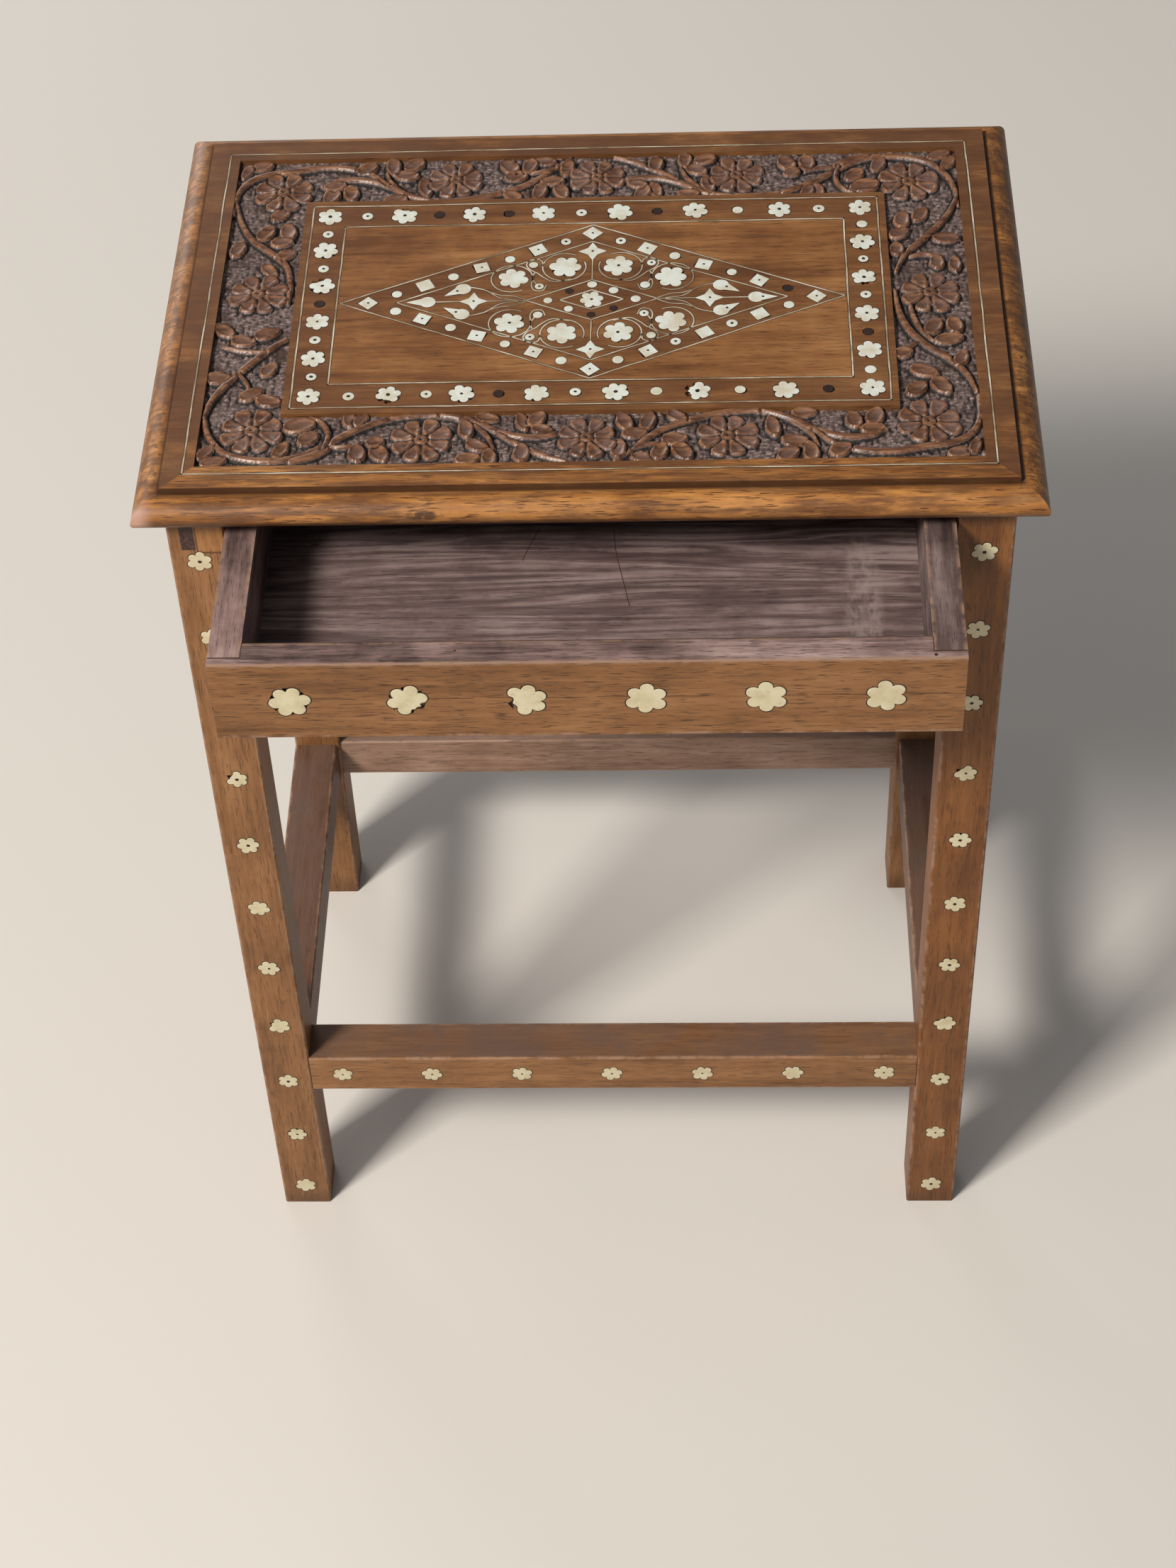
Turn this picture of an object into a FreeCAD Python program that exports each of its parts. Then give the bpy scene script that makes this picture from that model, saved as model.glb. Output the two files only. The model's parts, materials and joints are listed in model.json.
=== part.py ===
import FreeCAD, Part
import math
import os
import Sketcher
from FreeCAD import Vector

# Driving sizes in millimetres: word, number, meaning
SIZES = (
    ("table_height", 460.0, "floor to the flat of the top"),
    ("flat_width", 320.0, "flat of the top, left to right"),
    ("flat_depth", 214.4, "flat of the top, front to back"),
    ("top_thickness", 12.0, "thickness of the top board"),
    ("quirk_depth", 2.4, "step down from the flat to the moulding"),
    ("moulding_reach", 10.5, "moulding beyond the flat"),
    ("moulding_roll", 9.0, "radius of the convex roll of the moulding"),
    ("lower_round", 3.6, "radius under the moulding"),
    ("rim_width", 8.0, "edge of the flat to the border wire"),
    ("rim_ledge", 4.1, "border wire to the carved recess"),
    ("carving_depth", 3.0, "ground of the carved recess below the flat"),
    ("panel_width", 228.8, "centre panel inside its outer wire, left to right"),
    ("panel_depth", 125.4, "centre panel inside its outer wire, front to back"),
    ("panel_ledge", 3.2, "outer panel wire to the carved recess"),
    ("band_width", 13.8, "between the two panel wires"),
    ("diamond_end_gap", 1.1, "inner panel wire to the ends of the outer diamond wire"),
    ("diamond_side_gap", 1.4, "inner panel wire to the side points of the outer diamond wire"),
    ("wire_width", 0.7, "inlaid wire across"),
    ("wire_depth", 1.0, "inlaid wire into the wood"),
    ("wire_kerf", 0.05, "knife cut beside a wire"),
    ("bone_depth", 1.5, "thickness of the bone pieces"),
    ("lac_gap", 0.15, "filler line round a bone piece"),
    ("panel_flower", 9.6, "flower in the panel band across its petals"),
    ("diamond_flower", 12.0, "flower in the diamond across its petals"),
    ("heart_flower", 9.3, "middle flower across its petals"),
    ("leg_flower", 9.2, "flower on a leg across its petals"),
    ("stretcher_flower", 8.6, "flower on the front stretcher across its petals"),
    ("drawer_flower", 14.2, "flower on the drawer front across its petals"),
    ("dot_width", 4.5, "round bone dot across"),
    ("square_side", 6.0, "bone square"),
    ("star_width", 10.6, "four-pointed star across"),
    ("leaf_length", 11.6, "bone leaf from stalk to tip"),
    ("leaf_width", 6.4, "bone leaf across"),
    ("seed_width", 3.6, "small bone seed across"),
    ("rosette_width", 20.0, "carved rosette across its petals"),
    ("corner_rosette_width", 22.0, "carved rosette in a corner across its petals"),
    ("rosette_rise", 1.4, "carved rosette above the ground of the recess"),
    ("frame_width", 319.0, "outside of the legs, left to right"),
    ("frame_depth", 217.6, "outside of the legs, front to back"),
    ("leg_side", 22.0, "square leg"),
    ("arris", 0.7, "easing of the long edges"),
    ("leg_flower_low", 14.0, "floor to the lowest leg flower"),
    ("leg_flower_high", 24.0, "underside of the top to the highest leg flower"),
    ("stretcher_rise", 89.5, "floor to the underside of the stretchers"),
    ("stretcher_height", 23.0, "stretcher from bottom to top"),
    ("stretcher_thick", 20.5, "stretcher across"),
    ("stretcher_flower_end", 14.5, "leg to the first flower of the front stretcher"),
    ("tenon_thick", 8.0, "stretcher tenon across"),
    ("tenon_shoulder", 3.0, "shoulder above and below a stretcher tenon"),
    ("tenon_length", 6.5, "stub tenon into a leg"),
    ("mortise_gap", 0.5, "room at the end of a tenon"),
    ("apron_height", 56.0, "apron from bottom to top"),
    ("apron_thick", 12.0, "apron across"),
    ("apron_setback", 1.5, "face of an apron behind the faces of the legs"),
    ("apron_tenon_thick", 5.5, "apron tenon across"),
    ("apron_tenon_height", 16.0, "apron tenon from bottom to top"),
    ("apron_tenon_drop", 2.0, "underside of the top to an apron tenon"),
    ("rail_thick", 6.3, "rail over the drawer from bottom to top"),
    ("rail_depth", 18.0, "rail over the drawer, front to back"),
    ("rail_lap", 8.0, "end of the rail let into a leg"),
    ("kicker_width", 11.0, "strip over a drawer side, across"),
    ("runner_thick", 10.0, "strip under a drawer side, from bottom to top"),
    ("runner_width", 21.0, "strip under a drawer side, across"),
    ("guide_height", 20.0, "strip beside a drawer side, from bottom to top"),
    ("guide_gap", 0.1, "guide behind the inner face of the legs"),
    ("stop_length", 5.0, "drawer stop, front to back"),
    ("stop_width", 10.0, "drawer stop across"),
    ("stop_height", 10.0, "drawer stop from bottom to top"),
    ("drawer_height", 37.8, "drawer from bottom to top"),
    ("drawer_out", 72.8, "how far the drawer stands open"),
    ("drawer_side_gap", 0.6, "room between the drawer and a leg"),
    ("drawer_top_gap", 0.6, "room over the drawer"),
    ("drawer_low_gap", 0.3, "room between the drawer and its runners"),
    ("drawer_stop_gap", 0.3, "room between the closed drawer and its stops"),
    ("front_thick", 11.5, "drawer front, front to back"),
    ("front_lip", 4.0, "drawer front over the ends of the sides"),
    ("side_thick", 12.0, "drawer side across"),
    ("back_thick", 10.0, "drawer back, front to back"),
    ("floor_thick", 4.0, "drawer bottom"),
    ("floor_rise", 3.0, "lower edge of the drawer to its bottom board"),
    ("floor_groove", 3.5, "groove for the drawer bottom"),
    ("floor_slack", 0.4, "room at the edges of the drawer bottom"),
    ("drawer_flower_end", 28.4, "end of the drawer front to the first flower"),
    ("nail_side", 2.0, "square shank of a cut nail"),
    ("nail_head", 4.4, "square head of a cut nail"),
    ("nail_head_thick", 1.0, "head of a cut nail"),
    ("nail_length", 11.0, "cut nail from head to point"),
    ("nail_gap", 0.05, "room round a nail"),
    ("kicker_nail_reach", 60.0, "middle of a kicker to each of its nails"),
    ("floor_nail_reach", 80.0, "middle of the drawer to its outer nails"),
)

# Counts of repeated inlays
ROW_FLOWERS = 8
COLUMN_FLOWERS = 6
LEG_FLOWERS = 11
STRETCHER_FLOWERS = 7
DRAWER_FLOWERS = 6
EDGE_SQUARES = 4

# How far each flower of the long rows was set from its even place
ROW_DRIFT = (0.0, 0.0, -2.5, -5.0, -5.0, -5.0, -2.0, 0.0)

# Places inside the diamond, as parts of its half length and half depth, repeated in every quarter
FLOWER_PLACES = ((0.109, 0.436), (0.317, 0.291))
STAR_PLACES = ((0.0, 0.64), (0.467, 0.0))
LEAF_PLACES = ((0.676, 0.0, 0.0), (0.535, 0.137, -30.0))
SEED_PLACES = ((0.236, 0.472), (0.21, 0.185), (0.0, 0.194), (0.088, 0.116), (0.173, 0.0))

# Inner wires of the diamond, as parts of the outer one
INNER_SHARE = 0.774
HEART_OUTER_SHARE = 0.261
HEART_INNER_SHARE = 0.126

# Carved rosettes along the border: along the long sides, along the short sides, and from the panel into the corners
ROW_ROSETTES = {-1: (-63.0, -0.5, 52.5), 1: (-57.0, 1.0, 58.0)}
COLUMN_ROSETTES = {-1: 8.0, 1: 2.5}
CORNER_ROSETTE = (10.4, 8.1)
ROSETTE_PETALS = 8

# Shapes of the cut bone pieces, as parts of their own size
FLOWER_PETALS = 6
FLOWER_NOTCH = 0.66
FLOWER_TIP_ANGLE = math.radians(14)
STAR_POINTS = 4
STAR_NOTCH = 0.5
DOT_SIDES = 8
SEED_SIDES = 6

LEFT, RIGHT = -1, 1
FRONT, BACK = -1, 1
SIDE_NAMES = {LEFT: "left", RIGHT: "right"}
END_NAMES = {FRONT: "front", BACK: "back"}

doc = FreeCAD.newDocument("inlaid_side_table")
sheet = doc.addObject("Spreadsheet::Sheet", "sizes")
for row, (alias, number, meaning) in enumerate(SIZES, start=1):
    sheet.set(f"A{row}", meaning)
    sheet.set(f"B{row}", str(number))
    sheet.setAlias(f"B{row}", alias)
doc.recompute()
S = {alias: float(sheet.get(alias)) for alias, number, meaning in SIZES}

# Places that several pieces share, as expressions on the sheet
UNDERSIDE = "(sizes.table_height - sizes.top_thickness)"
LEG_X = "((sizes.frame_width - sizes.leg_side) / 2)"
LEG_Y = "((sizes.frame_depth - sizes.leg_side) / 2)"
SPAN_X = "(sizes.frame_width - 2 * sizes.leg_side)"
SPAN_Y = "(sizes.frame_depth - 2 * sizes.leg_side)"
STRETCHER_X = "((sizes.frame_width - sizes.stretcher_thick) / 2)"
STRETCHER_Y = "((sizes.frame_depth - sizes.stretcher_thick) / 2)"
STRETCHER_Z = "(sizes.stretcher_rise + sizes.stretcher_height / 2)"
TENON_HEIGHT = "(sizes.stretcher_height - 2 * sizes.tenon_shoulder)"
APRON_X = "(sizes.frame_width / 2 - sizes.apron_setback - sizes.apron_thick / 2)"
APRON_Y = "(sizes.frame_depth / 2 - sizes.apron_setback - sizes.apron_thick / 2)"
APRON_TENON_Z = f"({UNDERSIDE} - sizes.apron_tenon_drop - sizes.apron_tenon_height / 2)"
RAIL_Y = "(sizes.frame_depth / 2 - sizes.apron_setback - sizes.rail_depth / 2)"
RAIL_Z = f"({UNDERSIDE} - sizes.rail_thick / 2)"
DRAWER_LENGTH = "(sizes.frame_depth - sizes.leg_side - sizes.stop_length - 2 * sizes.drawer_stop_gap)"
DRAWER_TOP = f"({UNDERSIDE} - sizes.rail_thick - sizes.drawer_top_gap)"
DRAWER_Z = f"({DRAWER_TOP} - sizes.drawer_height / 2)"
DRAWER_FRONT = "(-sizes.frame_depth / 2 - sizes.drawer_out)"
DRAWER_WIDTH = f"({SPAN_X} - 2 * sizes.drawer_side_gap)"
DRAWER_INSIDE = f"({DRAWER_WIDTH} - 2 * sizes.side_thick)"
FLOOR_Z = f"({DRAWER_TOP} - sizes.drawer_height + sizes.floor_rise + sizes.floor_thick / 2)"
RUNNER_TOP = f"({DRAWER_TOP} - sizes.drawer_height - sizes.drawer_low_gap)"
APRON_INNER_X = "(sizes.frame_width / 2 - sizes.apron_setback - sizes.apron_thick)"
APRON_INNER_Y = "(sizes.frame_depth / 2 - sizes.apron_setback - sizes.apron_thick)"

nodes = []


def finished(piece, label):
    """Give a sub-part the name of its file."""
    piece.Label = label
    nodes.append(piece)
    return piece


def new_body(name, x="0", y="0", z="0"):
    body = doc.addObject("PartDesign::Body", name)
    for axis, place in zip("xyz", (x, y, z)):
        body.setExpression(f"Placement.Base.{axis}", place)
    return body


def new_sketch(body, name, role, offset):
    """A sketch on one of the body's own planes, moved by an offset in that plane's frame."""
    sketch = body.newObject("Sketcher::SketchObject", name)
    plane = next(feature for feature in body.Origin.OriginFeatures if feature.Role == role)
    sketch.AttachmentSupport = [(plane, "")]
    sketch.MapMode = "FlatFace"
    for axis, place in zip("xyz", offset):
        sketch.setExpression(f"AttachmentOffset.Base.{axis}", place)
    return sketch


def bind(sketch, name, value, *constraint):
    index = sketch.addConstraint(Sketcher.Constraint(*constraint))
    sketch.renameConstraint(index, name)
    sketch.setExpression(f"Constraints.{name}", value)


def add_rectangle(sketch, name, width, height, start=10.0):
    """A rectangle about the sketch's origin; start is only where its lines begin."""
    corners = [Vector(-start, -start), Vector(start, -start), Vector(start, start), Vector(-start, start)]
    lines = [Part.LineSegment(corners[i], corners[(i + 1) % 4]) for i in range(4)]
    first = sketch.addGeometry(lines, False)[0]
    for i in range(4):
        sketch.addConstraint(Sketcher.Constraint("Coincident", first + i, 2, first + (i + 1) % 4, 1))
        sketch.addConstraint(Sketcher.Constraint("Vertical" if i % 2 else "Horizontal", first + i))
    sketch.addConstraint(Sketcher.Constraint("Symmetric", first, 1, first + 2, 1, -1, 1))
    bind(sketch, f"{name}_width", width, "DistanceX", first, 1, first, 2, 2 * start)
    bind(sketch, f"{name}_height", height, "DistanceY", first + 1, 1, first + 1, 2, 2 * start)


def add_pad(body, name, role, width, height, length, offset=("0", "0", "0")):
    """A bar with a rectangular section, padded the same way to both sides of its sketch."""
    sketch = new_sketch(body, f"{name}_section", role, offset)
    add_rectangle(sketch, "section", width, height)
    pad = body.newObject("PartDesign::Pad", name)
    pad.Profile = sketch
    pad.SideType = "Symmetric"
    pad.setExpression("Length", length)
    body.recompute(True)
    return pad


def add_pocket(body, name, role, width, height, depth, offset):
    """A rectangular mortise, groove or notch, cut to its depth from the face its sketch lies on."""
    before = body.Shape.Volume
    sketch = new_sketch(body, f"{name}_outline", role, offset)
    add_rectangle(sketch, "outline", width, height)
    pocket = body.newObject("PartDesign::Pocket", name)
    pocket.Profile = sketch
    pocket.SideType = "Symmetric"
    pocket.setExpression("Length", f"2 * ({depth})")
    body.recompute(True)
    if body.Shape.Volume >= before:
        raise RuntimeError(f"{name} cuts nothing")
    return pocket


def edges_along(shape, axis):
    """Names of the straight edges that run along one axis."""
    names = []
    for index, edge in enumerate(shape.Edges, start=1):
        run = edge.Vertexes[-1].Point - edge.Vertexes[0].Point
        if run.Length > 0 and abs(run.normalize().dot(axis)) > 0.999:
            names.append(f"Edge{index}")
    return names


def ease_arrises(body, base, axis):
    chamfer = body.newObject("PartDesign::Chamfer", f"{body.Name}_arrises")
    chamfer.Base = (base, edges_along(base.Shape, axis))
    chamfer.setExpression("Size", "sizes.arris")
    body.recompute(True)


def cut(name, base, tool):
    piece = doc.addObject("Part::Cut", name)
    piece.Base = base
    piece.Tool = tool
    return piece


def group(name, solids):
    """Loose solids of one kind that share a file."""
    feature = doc.addObject("Part::Feature", name)
    feature.Shape = Part.makeCompound(solids)
    return feature


# Outlines of the cut bone pieces; grow widens one into the outline of its seat


def flower(size, grow, blunt, petals=FLOWER_PETALS):
    """Petals in a ring: blunt ones have two corners at the tip, pointed ones a single corner."""
    radius = size / 2 + grow
    step = 2 * math.pi / petals
    tips = (-FLOWER_TIP_ANGLE, FLOWER_TIP_ANGLE) if blunt else (0.0,)
    points = []
    for petal in range(petals):
        middle = petal * step + step / 2
        points += [Vector(radius * math.cos(middle + tip), radius * math.sin(middle + tip)) for tip in tips]
        notch = FLOWER_NOTCH * size / 2 + grow
        points.append(Vector(notch * math.cos(middle + step / 2), notch * math.sin(middle + step / 2)))
    return points


def regular(size, grow, sides, turn=0.0):
    radius = size / 2 + grow
    angles = [turn + 2 * math.pi * (side + 0.5) / sides for side in range(sides)]
    return [Vector(radius * math.cos(angle), radius * math.sin(angle)) for angle in angles]


def star(size, grow):
    points = []
    for corner in range(2 * STAR_POINTS):
        reach = size / 2 + grow
        if corner % 2:
            reach = STAR_NOTCH * size / 2 + grow
        angle = math.pi * corner / STAR_POINTS
        points.append(Vector(reach * math.cos(angle), reach * math.sin(angle)))
    return points


def leaf(length, width, grow, turn):
    """A drop with its point to the right and its round end to the left."""
    half = width / 2 + grow
    tip = Vector(length / 2 + grow, 0)
    round_middle = Vector(width / 2 - length / 2, 0)
    bend = [math.radians(angle) for angle in (60, 110, 150, 210, 250, 300)]
    points = [tip] + [round_middle + Vector(half * math.cos(a), half * math.sin(a)) for a in bend]
    spin = FreeCAD.Rotation(Vector(0, 0, 1), turn)
    return [spin.multVec(point) for point in points]


def square(side, grow, turn):
    return regular((side + 2 * grow) * math.sqrt(2), 0.0, 4, turn)


def inlay(outline, depth, spot, front=False):
    """One piece let in from the surface: into the top from above, or into an upright face from the front."""
    plate = Part.Face(Part.makePolygon(outline + outline[:1])).extrude(Vector(0, 0, -depth))
    if front:
        plate.rotate(Vector(), Vector(1, 0, 0), 90)
    plate.translate(spot)
    return plate


def rectangle_corners(half_x, half_y):
    return [Vector(-half_x, -half_y), Vector(half_x, -half_y), Vector(half_x, half_y), Vector(-half_x, half_y)]


def diamond_corners(half_x, half_y):
    return [Vector(-half_x, 0), Vector(0, -half_y), Vector(half_x, 0), Vector(0, half_y)]


def wire_loop(corners, half_x, half_y, grow):
    """A closed inlaid wire; grow widens it into its knife cut."""
    half = S["wire_width"] / 2 + grow
    depth = S["wire_depth"]
    spot = Vector(0, 0, S["table_height"])
    if corners is diamond_corners:
        stretch = half * math.hypot(half_x, half_y) / (half_x * half_y)
        outer = corners(half_x * (1 + stretch), half_y * (1 + stretch))
        inner = corners(half_x * (1 - stretch), half_y * (1 - stretch))
    else:
        outer = corners(half_x + half, half_y + half)
        inner = corners(half_x - half, half_y - half)
    return inlay(outer, depth, spot).cut(inlay(inner, 2 * depth, spot + Vector(0, 0, depth)))


def bone_group(label, outline, spots, front=False):
    """The pieces of one kind as a sub-part; returns the seats to cut for them."""
    depth = S["bone_depth"]
    finished(group(label, [inlay(outline(0.0, turn), depth, spot, front) for spot, turn in spots]), label)
    return [inlay(outline(S["lac_gap"], turn), depth, spot, front) for spot, turn in spots]


def wire_node(label, corners, half_x, half_y):
    """One inlaid wire as a sub-part; returns the knife cut to make for it."""
    finished(group(label, wire_loop(corners, half_x, half_y, 0.0).Solids), label)
    return wire_loop(corners, half_x, half_y, S["wire_kerf"])


def even(count, half):
    """Evenly spaced places from minus half to plus half."""
    return [half * (2 * index / (count - 1) - 1) for index in range(count)]


def quarters(x, y):
    """A place and its mirror images, each only once."""
    return sorted({(side * x, end * y) for side in (LEFT, RIGHT) for end in (FRONT, BACK)})


def on_top(x, y):
    return Vector(x, y, S["table_height"])


def panel_spots():
    """Flowers along the band of the panel, and the dots half way between them."""
    half_x = (S["panel_width"] - S["band_width"]) / 2
    half_y = (S["panel_depth"] - S["band_width"]) / 2
    row = [place + drift for place, drift in zip(even(ROW_FLOWERS, half_x), ROW_DRIFT)]
    column = even(COLUMN_FLOWERS, half_y)
    flowers = [(x, end * half_y) for end in (FRONT, BACK) for x in row]
    flowers += [(side * half_x, y) for side in (LEFT, RIGHT) for y in column[1:-1]]
    dots = [((a + b) / 2, end * half_y) for end in (FRONT, BACK) for a, b in zip(row, row[1:])]
    dots += [(side * half_x, (a + b) / 2) for side in (LEFT, RIGHT) for a, b in zip(column, column[1:])]
    return flowers, dots


def diamond_half():
    """Half length and half depth of the outer diamond wire."""
    half_x = S["panel_width"] / 2 - S["band_width"] - S["diamond_end_gap"]
    half_y = S["panel_depth"] / 2 - S["band_width"] - S["diamond_side_gap"]
    return half_x, half_y


def in_diamond(place):
    """A place given in parts of the diamond, and its mirror images."""
    half_x, half_y = diamond_half()
    return quarters(place[0] * half_x, place[1] * half_y)


def diamond_band_spots():
    """Squares and dots that take turns along the band between the two diamond wires."""
    long_x, long_y = diamond_half()
    half_x = long_x * (1 + INNER_SHARE) / 2
    half_y = long_y * (1 + INNER_SHARE) / 2
    slope = math.atan2(half_y, half_x)
    squares = [((x, y), math.radians(45)) for x, y in ((half_x, 0), (-half_x, 0), (0, half_y), (0, -half_y))]
    dots = []
    for step in range(1, 2 * EDGE_SQUARES):
        share = step / (2 * EDGE_SQUARES)
        for x, y in quarters(half_x * (1 - share), half_y * share):
            if step % 2:
                dots.append((x, y))
            else:
                squares.append(((x, y), -slope if x * y > 0 else slope))
    return squares, dots


def turned(places, turn=0.0):
    return [(on_top(x, y), turn) for x, y in places]


# Top board: two moulded sections at right angles, so that the moulding meets in mitres


def moulded_section(body, role, flat, other):
    """Flat, quirk, roll and rounded lower edge, the same at both ends of the section."""
    sketch = new_sketch(body, f"{body.Name}_section", role, ("0", "sizes.table_height", "0"))
    half = S[flat] / 2
    reach, quirk = S["moulding_reach"], S["quirk_depth"]
    thick, low, roll = S["top_thickness"], S["lower_round"], S["moulding_roll"]
    step = Vector(half, -quirk)
    outer = Vector(half + reach, low - thick)
    under = Vector(half + reach - low, -thick)
    chord = outer - step
    inward = Vector(chord.y, -chord.x).normalize()
    roll_middle = (step + outer) / 2 + inward * math.sqrt(roll ** 2 - (chord.Length / 2) ** 2)
    low_middle = Vector(under.x, outer.y)

    def mirrored(point):
        return Vector(-point.x, point.y)

    def arc(middle, start, end):
        angles = [math.atan2(p.y - middle.y, p.x - middle.x) for p in (start, end)]
        if angles[1] < angles[0]:
            angles[1] += 2 * math.pi
        circle = Part.Circle(middle, Vector(0, 0, 1), (start - middle).Length)
        return Part.ArcOfCircle(circle, *angles)

    edge = Vector(half, 0)
    flat_line, right_step, right_roll, right_low, under_line, left_low, left_roll, left_step = range(8)
    sketch.addGeometry([
        Part.LineSegment(mirrored(edge), edge),
        Part.LineSegment(edge, step),
        arc(roll_middle, outer, step),
        arc(low_middle, under, outer),
        Part.LineSegment(under, mirrored(under)),
        arc(mirrored(low_middle), mirrored(outer), mirrored(under)),
        arc(mirrored(roll_middle), mirrored(step), mirrored(outer)),
        Part.LineSegment(mirrored(step), mirrored(edge)),
    ], False)
    joins = (
        (flat_line, 2, right_step, 1), (right_step, 2, right_roll, 2), (right_roll, 1, right_low, 2),
        (right_low, 1, under_line, 1), (under_line, 2, left_low, 2), (left_low, 1, left_roll, 2),
        (left_roll, 1, left_step, 1), (left_step, 2, flat_line, 1),
    )
    for join in joins:
        sketch.addConstraint(Sketcher.Constraint("Coincident", *join))
    for line in (right_step, left_step):
        sketch.addConstraint(Sketcher.Constraint("Vertical", line))
    upright = -2
    pairs = (
        (flat_line, 1, flat_line, 2), (under_line, 1, under_line, 2), (right_roll, 1, left_roll, 2),
    )
    for pair in pairs:
        sketch.addConstraint(Sketcher.Constraint("Symmetric", *pair, upright))
    sketch.addConstraint(Sketcher.Constraint("Equal", right_step, left_step))
    sketch.addConstraint(Sketcher.Constraint("Equal", right_roll, left_roll))
    sketch.addConstraint(Sketcher.Constraint("Equal", right_low, left_low))
    sketch.addConstraint(Sketcher.Constraint("PointOnObject", flat_line, 1, -1))
    bind(sketch, "flat", f"sizes.{flat}", "DistanceX", flat_line, 1, flat_line, 2, S[flat])
    bind(sketch, "quirk", "sizes.quirk_depth", "DistanceY", right_step, 2, right_step, 1, quirk)
    bind(sketch, "reach", "sizes.moulding_reach", "DistanceX", right_step, 2, right_roll, 1, reach)
    bind(sketch, "thick", "sizes.top_thickness", "DistanceY", under_line, 1, flat_line, 2, thick)
    bind(sketch, "low_up", "sizes.lower_round", "DistanceY", under_line, 1, right_roll, 1, low)
    bind(sketch, "low_in", "sizes.lower_round", "DistanceX", under_line, 1, right_roll, 1, low)
    bind(sketch, "low_radius", "sizes.lower_round", "Radius", right_low, low)
    bind(sketch, "roll_radius", "sizes.moulding_roll", "Radius", right_roll, roll)
    pad = body.newObject("PartDesign::Pad", f"{body.Name}_board")
    pad.Profile = sketch
    pad.SideType = "Symmetric"
    pad.setExpression("Length", f"sizes.{other} + 2 * sizes.moulding_reach")
    return body


def build_top():
    long_section = moulded_section(new_body("long_section"), "XZ_Plane", "flat_width", "flat_depth")
    cross_section = moulded_section(new_body("cross_section"), "YZ_Plane", "flat_depth", "flat_width")
    blank = doc.addObject("Part::Common", "moulded_blank")
    blank.Base = long_section
    blank.Tool = cross_section

    recess = new_body("carved_recess")
    outline = new_sketch(recess, "recess_outline", "XY_Plane", ("0", "0", "sizes.table_height"))
    margin = "2 * (sizes.rim_width + sizes.rim_ledge)"
    add_rectangle(outline, "outer", f"sizes.flat_width - {margin}", f"sizes.flat_depth - {margin}", 100.0)
    ledge = "2 * sizes.panel_ledge"
    add_rectangle(outline, "inner", f"sizes.panel_width + {ledge}", f"sizes.panel_depth + {ledge}", 50.0)
    trench = recess.newObject("PartDesign::Pad", "recess_trench")
    trench.Profile = outline
    trench.SideType = "Symmetric"
    trench.setExpression("Length", "2 * sizes.carving_depth")
    sunk = cut("sunk_blank", blank, recess)
    carved = doc.addObject("Part::MultiFuse", "carved_blank")
    carved.Shapes = [sunk, group("rosettes", rosette_solids())]

    seats = build_top_inlay() + kicker_nail_solids(S["nail_gap"])
    return finished(cut("seated_top", carved, group("top_seats", seats)), "top_board")


def rosette_solids():
    """Rosettes that stand on the ground of the carved border."""
    outer = S["rim_width"] + S["rim_ledge"]
    inner_x, inner_y = S["panel_width"] / 2 + S["panel_ledge"], S["panel_depth"] / 2 + S["panel_ledge"]
    middle_x = (S["flat_width"] / 2 - outer + inner_x) / 2
    middle_y = (S["flat_depth"] / 2 - outer + inner_y) / 2
    spots = [(x, end * middle_y, "rosette_width") for end in (FRONT, BACK) for x in ROW_ROSETTES[end]]
    spots += [(side * middle_x, COLUMN_ROSETTES[side], "rosette_width") for side in (LEFT, RIGHT)]
    out_x, out_y = CORNER_ROSETTE
    spots += [(x, y, "corner_rosette_width") for x, y in quarters(inner_x + out_x, inner_y + out_y)]
    rise = S["rosette_rise"]
    lift = Vector(0, 0, rise - S["carving_depth"])
    return [inlay(flower(S[width], 0.0, False, ROSETTE_PETALS), rise, on_top(x, y) + lift) for x, y, width in spots]


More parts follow.
